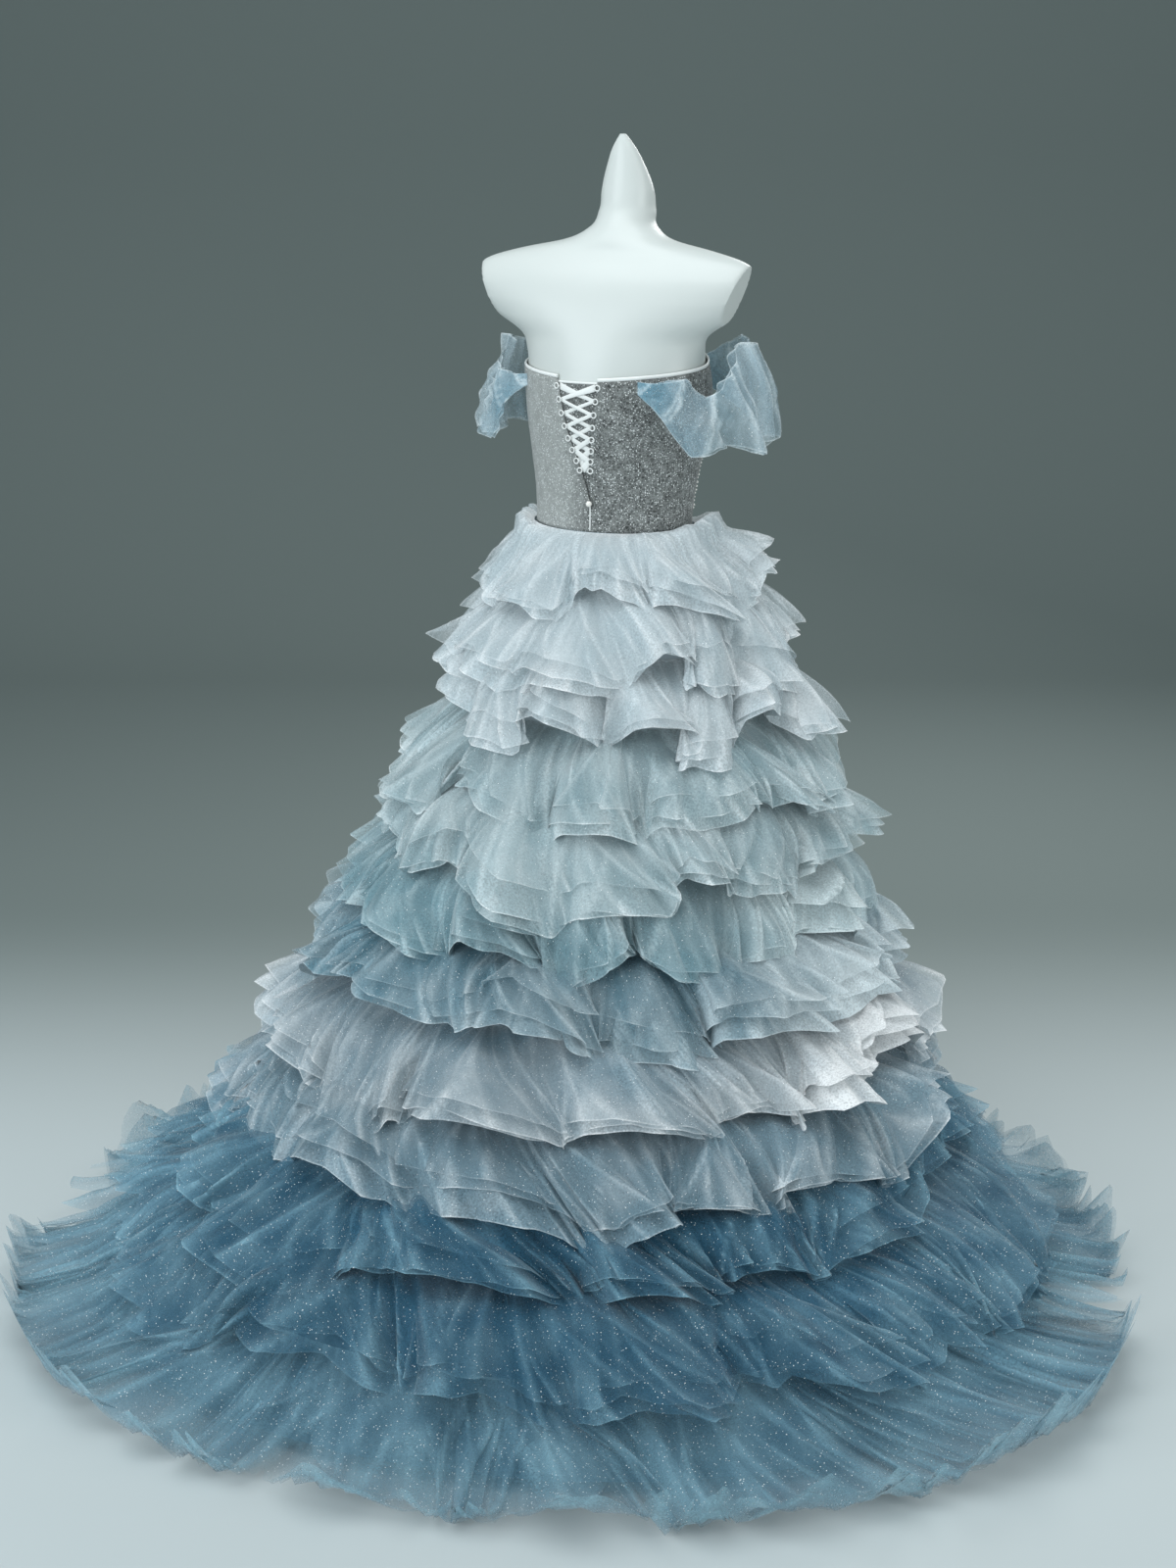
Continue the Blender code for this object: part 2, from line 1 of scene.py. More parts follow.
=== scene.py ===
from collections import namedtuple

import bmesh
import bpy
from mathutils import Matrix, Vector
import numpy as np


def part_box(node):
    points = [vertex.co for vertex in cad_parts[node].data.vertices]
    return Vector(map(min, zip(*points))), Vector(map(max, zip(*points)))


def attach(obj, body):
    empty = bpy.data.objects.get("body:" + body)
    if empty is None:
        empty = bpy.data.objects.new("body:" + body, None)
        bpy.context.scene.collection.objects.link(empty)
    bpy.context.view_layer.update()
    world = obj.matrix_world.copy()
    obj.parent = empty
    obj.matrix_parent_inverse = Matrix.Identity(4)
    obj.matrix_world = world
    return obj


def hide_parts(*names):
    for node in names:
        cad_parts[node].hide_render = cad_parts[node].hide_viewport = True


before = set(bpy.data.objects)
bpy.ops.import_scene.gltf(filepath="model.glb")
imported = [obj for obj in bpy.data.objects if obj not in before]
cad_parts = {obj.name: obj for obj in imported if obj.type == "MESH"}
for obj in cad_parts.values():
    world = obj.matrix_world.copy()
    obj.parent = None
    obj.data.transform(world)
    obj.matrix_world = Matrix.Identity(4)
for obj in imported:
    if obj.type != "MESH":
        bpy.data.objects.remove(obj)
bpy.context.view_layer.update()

# %% [markdown]
# A tiered tulle gown on a limbless dress form, seen from behind and a little from the wearer's right.
# The CAD part gives every piece's place and size. This script dresses it: the net of the tiers, the
# glitter lace of the bodice, the satin lacing, the white form, and the light. The frame is in metres
# with +Z up and the gown's front towards -Y.
#
# Every cloth piece could be simulated, sculpted or worked out as a surface. They are worked out here,
# as grids of points over the same sections that the CAD part has, because the many folds then stay
# where the solid's waves are and each run gives the same gown.

plate_low, plate_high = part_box("form_plate")
AXIS = np.array([(plate_low.x + plate_high.x) / 2, (plate_low.y + plate_high.y) / 2, 0.0])

# %% [markdown]
# The tables of the form and of the skirt are those of the CAD part. Repeating them keeps this script
# whole, and a smooth reading between their rows gives finer surfaces than the solids have.

# %% driving sizes
Section = namedtuple("Section", "z x y w l")
FORM_SECTIONS = [Section(*row) for row in [
    (0.800, 0.000, 0.000, 0.158, 0.112), (0.870, 0.000, 0.002, 0.164, 0.117),
    (0.960, 0.000, 0.002, 0.146, 0.106), (1.060, 0.000, 0.000, 0.119, 0.086),
    (1.110, 0.000, -0.004, 0.121, 0.089), (1.170, 0.000, -0.011, 0.130, 0.099),
    (1.230, 0.000, -0.018, 0.139, 0.112), (1.280, 0.000, -0.014, 0.141, 0.108),
    (1.320, 0.000, -0.004, 0.140, 0.095), (1.345, 0.000, 0.001, 0.147, 0.086),
    (1.375, 0.000, 0.005, 0.192, 0.076), (1.400, 0.000, 0.007, 0.219, 0.068),
    (1.435, 0.000, 0.005, 0.227, 0.056), (1.457, 0.000, 0.000, 0.200, 0.046),
    (1.470, 0.000, -0.006, 0.150, 0.044), (1.482, -0.002, -0.013, 0.090, 0.046),
    (1.500, -0.004, -0.024, 0.053, 0.047), (1.525, -0.006, -0.034, 0.0425, 0.044),
    (1.555, -0.007, -0.032, 0.0395, 0.036), (1.590, -0.008, -0.022, 0.0290, 0.022),
    (1.618, -0.008, -0.014, 0.0160, 0.011), (1.634, -0.008, -0.010, 0.0045, 0.004)]]
SHOULDER_FROM = 1.335        # above this the stubs' flat ends cut the sections
STUB_CAP, STUB_CAP_Z, STUB_CAP_LEAN = 0.2085, 1.435, 0.45

SEAM = 0.0003                # gap between neighbouring pieces
CLOTH = 0.0018               # bodice wall
MODESTY_OFF, MODESTY_WALL = 0.0013, 0.0010
BODICE_OFF = 0.0036          # bodice's inner face, off the form
WAIST_Z = 1.060
TopEdge = namedtuple("TopEdge", "angle z")
TOP_EDGE = [TopEdge(*row) for row in [
    (0, 1.306), (24, 1.332), (55, 1.314), (90, 1.300), (140, 1.290), (180, 1.283)]]
FRONT_SEAM, SIDE_SEAM = 38.0, 96.0
LaceGap = namedtuple("LaceGap", "z left right")
LACE_GAP = [LaceGap(*row) for row in [
    (1.060, 0.00015, -0.00015), (1.105, 0.0015, -0.0005), (1.150, 0.0140, 0.0000), (1.200, 0.0330, -0.0040),
    (1.292, 0.0550, -0.0160)]]
MODESTY_FROM, MODESTY_TO, MODESTY_LAP = 1.100, 1.282, 0.012
BINDING_HEIGHT = 0.0055
LACE_WIDTH, LACE_WALL = 0.0105, 0.0008
LACE_LEVELS = [1.276, 1.256, 1.236, 1.217, 1.199, 1.182, 1.166, 1.152]
LACE_UNDER_OFF, LACE_OVER_OFF, LACE_CLEAR = 0.0027, 0.0041, 0.0022
BUTTON_Z, BUTTON_RADIUS = 1.103, 0.0045

Sleeve = namedtuple("Sleeve", "name side back reach slip")
SLEEVES = [Sleeve("sleeve_left", 1, 122, 0.086, 0.006), Sleeve("sleeve_right", -1, 150, 0.098, 0.0)]
SLEEVE_FRONT, SLEEVE_OFF, SLEEVE_SWING, SLEEVE_TUCK = 42.0, 0.0058, 0.75, 0.38
SLEEVE_WAVE, SLEEVE_WAVES, SLEEVE_SLANT = 0.007, 5, 3.0
SLEEVE_LEVEL, SLEEVE_HELD_TO = 1.250, 1.305
SleeveEdge = namedtuple("SleeveEdge", "t low high")
SLEEVE_EDGES = [SleeveEdge(*row) for row in [
    (0.00, 1.268, 1.286), (0.06, 1.250, 1.287), (0.12, 1.222, 1.288),
    (0.20, 1.186, 1.290), (0.29, 1.192, 1.268), (0.38, 1.190, 1.296),
    (0.50, 1.186, 1.334), (0.75, 1.196, 1.342), (0.90, 1.236, 1.328),
    (1.00, 1.268, 1.305)]]

SkirtRow = namedtuple("SkirtRow", "z x front back w egg turn")
SKIRT_ROWS = [SkirtRow(*row) for row in [
    (1.0597, 0.000, 0.0914, 0.0914, 0.1244, 0.00, 0),
    (0.930, -0.018, 0.135, 0.150, 0.180, 0.00, 0),
    (0.800, -0.022, 0.180, 0.230, 0.226, 0.00, 0),
    (0.660, -0.020, 0.222, 0.320, 0.282, 0.00, 0),
    (0.500, -0.012, 0.272, 0.425, 0.345, 0.03, 3),
    (0.320, -0.006, 0.325, 0.565, 0.420, 0.08, 7),
    (0.160, 0.000, 0.370, 0.740, 0.525, 0.14, 11),
    (0.020, 0.006, 0.440, 0.975, 0.700, 0.22, 14),
    (0.000, 0.006, 0.510, 1.060, 0.800, 0.24, 15)]]
EGG_WIDENS = 0.45
TIER_SEAM, UNEVEN, DRIFT, HEM_UNEVEN, FLOOR_CLEAR = 0.0020, 0.25, 0.30, 0.04, 0.0006

# %% [markdown]
# The surfaces are read from the tables by a few small functions. The body's is smooth through its rows,
# the skirt's runs straight between them. Each gives points about the form's axis, which are moved to
# the frame when a mesh is made.


# %% section surfaces
def smooth_table(rows, name, z):
    """One column of a table at heights z: cubic pieces whose slopes are the mean of the neighbouring
    ones."""
    heights = np.array([row.z for row in rows])
    values = np.array([getattr(row, name) for row in rows])
    slopes = np.gradient(values, heights)
    z = np.clip(np.asarray(z, dtype=float), heights[0], heights[-1])
    i = np.clip(np.searchsorted(heights, z, side="right") - 1, 0, len(heights) - 2)
    step = heights[i + 1] - heights[i]
    t = (z - heights[i]) / step
    start = (2 * t ** 3 - 3 * t ** 2 + 1) * values[i] + (t ** 3 - 2 * t ** 2 + t) * step * slopes[i]
    return start + (3 * t ** 2 - 2 * t ** 3) * values[i + 1] + (t ** 3 - t ** 2) * step * slopes[i + 1]


def body_point(angle, z, off=0.0):
    """Point of the form's ellipse at a height and an angle from the front centre towards +X, pushed out
    by off."""
    w = smooth_table(FORM_SECTIONS, "w", z) + off
    depth = smooth_table(FORM_SECTIONS, "l", z) + off
    x = smooth_table(FORM_SECTIONS, "x", z) + w * np.sin(angle)
    y = smooth_table(FORM_SECTIONS, "y", z) - depth * np.cos(angle)
    return np.stack(np.broadcast_arrays(x, y, z), axis=-1)


def back_angle(x, z, off=0.0):
    """Angle of the point on the form's back that lies x to the side: half a turn less the arcsine of x
    by half width."""
    w = smooth_table(FORM_SECTIONS, "w", z) + off
    return np.pi - np.arcsin(np.clip(x / w, -1, 1))


def top_edge(angle):
    """Height of the bodice's top edge, straight between the table's angles and the same on both
    sides."""
    folded = np.degrees(np.abs((angle + np.pi) % (2 * np.pi) - np.pi))
    return np.interp(folded, [row.angle for row in TOP_EDGE], [row.z for row in TOP_EDGE])


def skirt_point(angle, z):
    """Point of the skirt's guide surface: at each height an ellipse made egg-shaped, its width growing
    with the cosine, and turned about the form's axis. Rows are joined by straight lines."""
    heights = [row.z for row in SKIRT_ROWS][::-1]
    x, front, back, w, egg, turn = (np.interp(z, heights, [getattr(row, name) for row in SKIRT_ROWS][::-1])
                                    for name in SkirtRow._fields[1:])
    y = (back - front) / 2 - (back + front) / 2 * np.cos(angle)
    x = x + w * np.sin(angle) * (1 - egg * np.cos(angle)) / (1 + EGG_WIDENS * egg ** 2)
    c, s = np.cos(np.radians(turn)), np.sin(np.radians(turn))
    return np.stack(np.broadcast_arrays(x * c - y * s, x * s + y * c, z), axis=-1)


def unit(vectors):
    """The vectors at length 1."""
    return vectors / np.maximum(np.linalg.norm(vectors, axis=-1, keepdims=True), 1e-12)


def around(count):
    """A row of so many even angles all round."""
    return np.linspace(0, 2 * np.pi, count, endpoint=False)[None, :]


def bell(x, middle, spread):
    """1 at the middle and less on both sides: e to the power of minus the square of distance by
    spread."""
    return np.exp(-((x - middle) / spread) ** 2)


def skirt_normal(angle, z):
    """Direction off the guide surface: its slope down crossed with its slope round."""
    turn, drop = 0.02, 0.03
    round_it = skirt_point(angle + turn, z) - skirt_point(angle - turn, z)
    lower = np.maximum(z - drop, SKIRT_ROWS[-1].z)
    down_it = skirt_point(angle, lower) - skirt_point(angle, np.minimum(lower + 2 * drop, SKIRT_ROWS[0].z))
    return unit(np.cross(down_it, round_it))


print("waist half width", float(smooth_table(FORM_SECTIONS, "w", WAIST_Z)))

# %% [markdown]
# The camera stands behind the gown, to the wearer's right, at eye height and tilted down, as in the
# photograph. Its place is worked out from the form's axis: so far back along the view, and a little to
# the side.

# %% camera
VIEW_TURN, VIEW_TILT = np.radians(204), np.radians(16.9)
VIEW_BACK, VIEW_ASIDE, VIEW_HEIGHT = 3.33, 0.040, 1.65
towards = np.array([np.sin(VIEW_TURN), -np.cos(VIEW_TURN), 0.0])
rightwards = np.array([np.cos(VIEW_TURN), np.sin(VIEW_TURN), 0.0])
lens = bpy.data.cameras.new("photo_camera")
lens.lens = 50
lens.sensor_width = 36
camera = bpy.data.objects.new("photo_camera", lens)
camera.location = AXIS + towards * VIEW_BACK - rightwards * VIEW_ASIDE + np.array([0, 0, VIEW_HEIGHT])
camera.rotation_euler = (np.pi / 2 - VIEW_TILT, 0, VIEW_TURN)
bpy.context.scene.collection.objects.link(camera)
bpy.context.scene.camera = camera
print("camera at", np.array(camera.location).round(3))

# %% [markdown]
# Small helpers make every piece. Meshes come from grids of points, whose rows run from the top down and
# whose columns run round from the front towards +X, so that their faces look outwards. Materials are
# built from shader nodes by one helper that adds a node, and colours are given as they look on a
# screen.


# %% helpers
def colour(code):
    """Screen colour as hex to linear: divided by 12.92 when dark, else a power of 2.4."""
    screen = np.array([int(code[i:i + 2], 16) for i in (1, 3, 5)]) / 255
    linear = np.where(screen <= 0.04045, screen / 12.92, ((screen + 0.055) / 1.055) ** 2.4)
    return (*linear.tolist(), 1.0)


def node(tree, kind, inputs=None, **settings):
    """Adds one shader node. inputs gives a socket or a constant for each input that it names."""
    made = tree.nodes.new("ShaderNode" + kind)
    for key, value in settings.items():
        setattr(made, key, value)
    for key, value in (inputs or {}).items():
        if isinstance(value, bpy.types.NodeSocket):
            tree.links.new(value, made.inputs[key])
        else:
            made.inputs[key].default_value = value
    return made


def new_material(name, **constants):
    """A Principled material with constants set on the shader's own sockets. Gives back the material, its
    nodes and the socket of the object's own coordinates, which are metres."""
    made = bpy.data.materials.new(name)
    made.use_nodes = True
    shader = made.node_tree.nodes["Principled BSDF"]
    for key, value in constants.items():
        shader.inputs[key.replace("_", " ")].default_value = value
    return made, made.node_tree, node(made.node_tree, "TexCoord").outputs["Object"]


def finished(made, **sources):
    """Joins a socket to each named input of the material's shader and gives back the material."""
    shader = made.node_tree.nodes["Principled BSDF"]
    for key, source in sources.items():
        made.node_tree.links.new(source, shader.inputs[key.replace("_", " ")])
    return made


def grid_quads(rows, columns, wraps=False, start=0):
    """Quads of a grid of points, row by row, looking outwards; wraps joins the last column to the
    first."""
    r = np.arange(rows - 1)[:, None]
    c = np.arange(columns if wraps else columns - 1)[None, :]
    beside = (c + 1) % columns
    quads = [r * columns + c, (r + 1) * columns + c, (r + 1) * columns + beside, r * columns + beside]
    return np.stack(np.broadcast_arrays(*quads), axis=-1).reshape(-1, 4) + start


def add_mesh(name, points, faces, finish, values=None):
    """Adds a smooth mesh object at the origin. points are about the form's axis, values are attributes
    of its points."""
    mesh = bpy.data.meshes.new(name)
    mesh.from_pydata((points.reshape(-1, 3) + AXIS).tolist(), [], faces)
    for key, value in (values or {}).items():
        attribute = mesh.attributes.new(key, "FLOAT", "POINT")
        attribute.data.foreach_set("value", np.ascontiguousarray(value, dtype=np.float32).ravel())
    mesh.shade_smooth()
    mesh.materials.append(finish)
    made = bpy.data.objects.new(name, mesh)
    bpy.context.scene.collection.objects.link(made)
    return made


def add_wall(name, outer, inner, finish, wraps=False):
    """Adds a closed wall between two grids of the same size: both faces and a strip along every
    edge."""
    rows, columns = outer.shape[:2]
    count = rows * columns
    number = np.arange(count).reshape(rows, columns)
    if wraps:
        number = np.concatenate([number, number[:, :1]], axis=1)
    around = [number[0, ::-1], number[-1]] if wraps else [
        np.concatenate([number[:, 0], number[-1, 1:], number[-2::-1, -1], number[0, -2::-1]])]
    rims = [np.stack([edge[1:], edge[:-1], edge[:-1] + count, edge[1:] + count], axis=-1) for edge in around]
    sides = [grid_quads(rows, columns, wraps), grid_quads(rows, columns, wraps, count)[:, ::-1]]
    faces = np.concatenate(sides + list(rims))
    return add_mesh(name, np.stack([outer, inner]), faces.tolist(), finish)


def place(piece, slot, *nodes):
    """Fixes a piece to the part, in place of the CAD nodes named. slot is not used."""
    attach(piece, "root")
    if nodes:
        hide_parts(*nodes)
    return piece


print("helpers ready")

# %% [markdown]
# The studio is a floor that sweeps up into a plain grey-green backdrop, lit softly from above. Round the
# gown the floor is painted pale, a painted pool of light that fades to the grey-green about a metre
# behind it. A sweep could be two planes, but a curve between them leaves no line behind the gown. Its
# rear side is clear, so that the backdrop does not hide the gown from any side that it is looked at. A
# large light overhead and a wide one beside the camera keep the shadows soft, and a weaker one behind
# gives the net its bright edges.


# %% stage and light
LIGHT_AIM = np.array([0, 0, 0.8])       # the gown's middle, over the form's foot
# The floor is painted pale round the gown and grey-green from the second distance on: a painted pool of
# light.
POOL_OF_LIGHT_TO, POOL_OF_LIGHT_FADED = -0.1, 1.20         # metres behind the gown
FLOOR_NEAR, FLOOR_FLAT, SWEEP_RADIUS, WALL_TOP, HALF_WIDTH = -5.0, 3.2, 1.6, 5.5, 9.0


def studio_material():
    """Matte grey-green paint with a painted pool of light: pale on the floor round the gown, turning to
    grey-green with the distance behind it. The rear side of the sweep is clear."""
    made, tree, where = new_material("matte_studio_paint_with_painted_light", Roughness=0.9)
    apart = node(tree, "SeparateXYZ", {"Vector": where}).outputs["Y"]
    share = node(tree, "MapRange", {"Value": apart, "From Min": POOL_OF_LIGHT_TO, "From Max": POOL_OF_LIGHT_FADED},
                 interpolation_type="SMOOTHSTEP").outputs[0]
    paint = node(tree, "Mix", {0: share, 6: colour("#c4cdce"), 7: colour("#7f8a88")}, data_type="RGBA")
    rear = node(tree, "NewGeometry").outputs["Backfacing"]
    front = node(tree, "Math", {0: 1.0, 1: rear}, operation="SUBTRACT").outputs[0]
    return finished(made, Base_Color=paint.outputs[2], Alpha=front)


def make_studio():
    """Floor and backdrop: a profile of flat, quarter round and upright, drawn out sideways along the
    view's own axis."""
    bend = np.linspace(0, np.pi / 2, 24)
    reach = np.concatenate([[FLOOR_NEAR, 0.0], FLOOR_FLAT + SWEEP_RADIUS * np.sin(bend),
                            [FLOOR_FLAT + SWEEP_RADIUS]])
    height = np.concatenate([[0.0, 0.0], SWEEP_RADIUS * (1 - np.cos(bend)), [WALL_TOP]])
    points = np.zeros((len(reach), 2, 3))
    points[..., 0] = [[-HALF_WIDTH, HALF_WIDTH]]
    points[..., 1] = reach[:, None]
    points[..., 2] = height[:, None]
    faces = grid_quads(len(reach), 2)[:, ::-1].tolist()
    made = add_mesh("studio_sweep", points - AXIS, faces, studio_material())
    made.location = AXIS
    made.rotation_euler = (0, 0, VIEW_TURN)
    return made


def add_light(name, aside, back, up, size, power, tint):
    """Square area light at a place given along the view's axes, turned to the gown's middle."""
    lamp = bpy.data.lights.new(name, "AREA")
    lamp.size = size
    lamp.energy = power
    lamp.color = colour(tint)[:3]
    made = bpy.data.objects.new(name, lamp)
    spot = AXIS + rightwards * aside + towards * back + np.array([0, 0, up])
    made.location = spot
    made.rotation_euler = Vector(AXIS + LIGHT_AIM - spot).to_track_quat("-Z", "Y").to_euler()
    bpy.context.scene.collection.objects.link(made)
    return made


make_studio()
add_light("overhead_softbox", -0.5, 0.9, 3.9, 3.0, 74, "#f8fcff")
add_light("left_softbox", -2.8, 2.3, 1.5, 2.0, 58, "#f4faff")
add_light("right_softbox", 2.8, 1.8, 1.3, 1.8, 34, "#fbfdff")
add_light("edge_softbox", 1.4, -2.2, 2.4, 1.4, 26, "#ffffff")
world = bpy.data.worlds.new("soft_room")
world.use_nodes = True
world.node_tree.nodes["Background"].inputs["Color"].default_value = colour("#b9c6c8")
world.node_tree.nodes["Background"].inputs["Strength"].default_value = 0.55
bpy.context.scene.world = world
bpy.context.scene.view_settings.view_transform = "Standard"
bpy.context.scene.cycles.max_bounces = 4
bpy.context.scene.cycles.diffuse_bounces = 2
bpy.context.scene.cycles.transparent_max_bounces = 18

# %% [markdown]
# The materials are named for what they are. The form is white satin lacquer, its stand brushed steel.
# The bodice is a grey glitter lace: pale cords on a dark ground with small bright specks. The lacing is
# white satin, the button a pearl.


# %% materials of the form and bodice
def clouded(name, size, detail, first, second, **constants):
    """A finish of two near colours that meet in clouds of a size in mm."""
    made, tree, where = new_material(name, **constants)
    cloud = node(tree, "TexNoise", {"Vector": where, "Scale": 1000 / size, "Detail": detail}).outputs["Fac"]
    paint = node(tree, "Mix", {0: cloud, 6: colour(first), 7: colour(second)}, data_type="RGBA")
    return finished(made, Base_Color=paint.outputs[2])


def brushed_steel():
    """Brushed steel: metal with fine streaks, 0.6 mm across."""
    made, tree, where = new_material("brushed_steel", Metallic=1.0, IOR=2.5)
    streaks = node(tree, "TexNoise", {"Vector": where, "Scale": 1000 / 0.6, "Detail": 1.0}).outputs["Fac"]
    rough = node(tree, "MapRange", {"Value": streaks, "To Min": 0.25, "To Max": 0.42})
    paint = node(tree, "Mix", {0: streaks, 6: colour("#b4b8ba"), 7: colour("#cdd0d1")}, data_type="RGBA")
    return finished(made, Base_Color=paint.outputs[2], Roughness=rough.outputs[0])


def specks(tree, where, cell, reach, test, bar):
    """1 on round specks and 0 elsewhere: one speck in a cell of so many mm, reaching a part of the cell,
    in the cells whose lot passes the test."""
    dots = node(tree, "TexVoronoi", {"Vector": where, "Scale": 1000 / cell})
    near = node(tree, "Math", {0: dots.outputs["Distance"], 1: reach}, operation="LESS_THAN").outputs[0]
    lot = node(tree, "SeparateColor", {"Color": dots.outputs["Color"]}).outputs[0]
    some = node(tree, "Math", {0: lot, 1: bar}, operation=test).outputs[0]
    return node(tree, "Math", {0: near, 1: some}, operation="MULTIPLY").outputs[0]


def glitter_lace(name, dark, grey, lit_pale):
    """Glitter lace: mottled ground 14 mm wide, fine cords 5 mm apart and bright sequin dust in cells of
    2.2 mm. The real dust is under 1 mm and is drawn at 1.4 mm so that it shows. The ground is painted
    paler on the wearer's left, painted light as if lit from that side."""
    made, tree, where = new_material(name, Sheen_Weight=0.2)
    mottle = node(tree, "TexNoise", {"Vector": where, "Scale": 1000 / 14, "Detail": 6.0, "Roughness": 0.85})
    bent = node(tree, "VectorMath", {0: mottle.outputs["Color"], "Scale": 0.008},
                operation="SCALE").outputs[0]
    moved = node(tree, "VectorMath", {0: where, 1: bent}, operation="ADD").outputs[0]
    cells = node(tree, "TexVoronoi", {"Vector": moved, "Scale": 1000 / 5},
                 feature="DISTANCE_TO_EDGE").outputs["Distance"]
    line = node(tree, "MapRange", {"Value": cells, "From Min": 0.03, "From Max": 0.12, "To Min": 1.0,
                                   "To Max": 0.0})
    patch = node(tree, "MapRange", {"Value": mottle.outputs["Fac"], "From Min": 0.40, "From Max": 0.62})
    base = node(tree, "Mix", {0: patch.outputs[0], 6: colour(dark), 7: colour(grey)},
                data_type="RGBA").outputs[2]
    # Painted light: the ground is drawn paler towards the wearer's left, as if lit from that side.
    across = node(tree, "SeparateXYZ", {"Vector": where}).outputs["X"]
    side = node(tree, "MapRange", {"Value": across, "From Min": float(AXIS[0]) - 0.01,
                                   "From Max": float(AXIS[0]) + 0.05, "To Max": 0.34})
    painted_light_side = node(tree, "Mix", {0: side.outputs[0], 6: base, 7: colour(lit_pale)},
                 data_type="RGBA").outputs[2]
    share = node(tree, "Math", {0: line.outputs[0], 1: 0.30}, operation="MULTIPLY").outputs[0]
    corded = node(tree, "Mix", {0: share, 6: painted_light_side, 7: colour("#c9cecd")}, data_type="RGBA").outputs[2]
    speck = specks(tree, where, 2.2, 0.36, "GREATER_THAN", 0.70)
    bright = node(tree, "Mix", {0: speck, 6: corded, 7: colour("#f2f6f6")}, data_type="RGBA").outputs[2]
    rough = node(tree, "MapRange", {"Value": speck, "To Min": 0.62, "To Max": 0.18}).outputs[0]
    raised = node(tree, "Math", {0: line.outputs[0], 1: speck}, operation="MAXIMUM").outputs[0]
    bump = node(tree, "Bump", {"Height": raised, "Distance": 0.0004, "Strength": 0.7}).outputs[0]
    return finished(made, Base_Color=bright, Roughness=rough, Normal=bump)


# White satin lacquer on a moulded shell: a soft gloss and a thin clear coat.
LACQUER = clouded("white_satin_lacquer", 160, 2.0, "#cdd4d1", "#d6dbd8", Roughness=0.42, IOR=1.5,
                  Coat_Weight=0.25, Coat_Roughness=0.25)
STEEL = brushed_steel()
# The third colour of each lace is its painted light on the wearer's left. The modesty panel's lace is a
# darker copy, painted shade for the recess behind the lacing.
LACE = glitter_lace("grey_glitter_lace", "#303433", "#7c817f", "#dde2df")
MODESTY_CLOTH = glitter_lace("shadowed_glitter_lace", "#3b3f3e", "#5f6463", "#6d7270")
# Satin ribbon: a faint weave 0.8 mm across.
WHITE_SATIN = clouded("white_satin", 0.8, 0.0, "#e4e8e6", "#f6f8f6", Roughness=0.38, Sheen_Weight=0.3,
                      IOR=1.46)
# Pearl: warm white with a slight cloud under a clear coat.
PEARL = clouded("pearl", 4, 1.0, "#efece4", "#fbfaf6", Roughness=0.22, IOR=1.53, Coat_Weight=0.6,
                Coat_Roughness=0.1)
print("materials", [m.name for m in (LACQUER, STEEL, LACE, MODESTY_CLOTH, WHITE_SATIN, PEARL)])

# %% [markdown]
# Tulle is a fine net: it shows what lies behind it, and turns denser where it is folded, gathered, cut
# or seen along its slope. There it is also drawn paler: a painted highlight on its ridges, slopes,
# gathers and hems. A real net would need millions of holes, so the surface has two values at each point
# instead, worked out from its folds: frost, how pale it is painted, highlight included, and cover, how
# dense. Glitter is small specks in cells a few mm wide.


# %% tulle
def tulle(name, deep, lit_pale, glitter):
    """Net: colour runs from deep to pale by frost, which holds the painted highlight of the folds and the
    painted shade of some patches; opacity is cover with a grain of 3 mm, and specks are opaque."""
    made, tree, where = new_material(name, Sheen_Weight=0.35, Sheen_Roughness=0.5, IOR=1.45)
    # frost is painted light: paler on ridges, slopes, gathers and hems, and deeper in the shaded patches.
    frost = node(tree, "Attribute", attribute_name="frost").outputs["Fac"]
    cover = node(tree, "Attribute", attribute_name="cover").outputs["Fac"]
    cloud = node(tree, "TexNoise", {"Vector": where, "Scale": 1000 / 70, "Detail": 2.0}).outputs["Fac"]
    wide = node(tree, "MapRange", {"Value": cloud, "From Min": 0.3, "From Max": 0.7, "To Min": -0.16,
                                   "To Max": 0.16})
    share = node(tree, "Math", {0: frost, 1: wide.outputs[0]}, operation="ADD", use_clamp=True).outputs[0]
    net = node(tree, "Mix", {0: share, 6: colour(deep), 7: colour(lit_pale)}, data_type="RGBA").outputs[2]
    grain = node(tree, "TexNoise", {"Vector": where, "Scale": 1000 / 3, "Detail": 1.0}).outputs["Fac"]
    thin = node(tree, "MapRange", {"Value": grain, "From Min": 0.3, "From Max": 0.7, "To Min": 0.72,
                                   "To Max": 1.22}).outputs[0]
    dense = node(tree, "Math", {0: cover, 1: thin}, operation="MULTIPLY", use_clamp=True).outputs[0]
    speck = specks(tree, where, 4.5, 0.14, "LESS_THAN", glitter)
    bright = node(tree, "Mix", {0: speck, 6: net, 7: colour("#ffffff")}, data_type="RGBA").outputs[2]
    solid = node(tree, "Math", {0: dense, 1: speck}, operation="MAXIMUM").outputs[0]
    rough = node(tree, "MapRange", {"Value": speck, "To Min": 0.6, "To Max": 0.15}).outputs[0]
    return finished(made, Base_Color=bright, Roughness=rough, Alpha=solid)


def foundation_cloth():
    """Taffeta under the net: grey-blue, from pale at the waist to deep at the hem."""
    made, tree, where = new_material("foundation_taffeta", Roughness=0.7, Sheen_Weight=0.2)
    height = node(tree, "SeparateXYZ", {"Vector": where}).outputs["Z"]
    share = node(tree, "MapRange", {"Value": height, "From Min": 0.25, "From Max": 0.75})
    cloth = node(tree, "Mix", {0: share.outputs[0], 6: colour("#2f5a70"), 7: colour("#c3d1d7")},
                 data_type="RGBA")
    return finished(made, Base_Color=cloth.outputs[2])


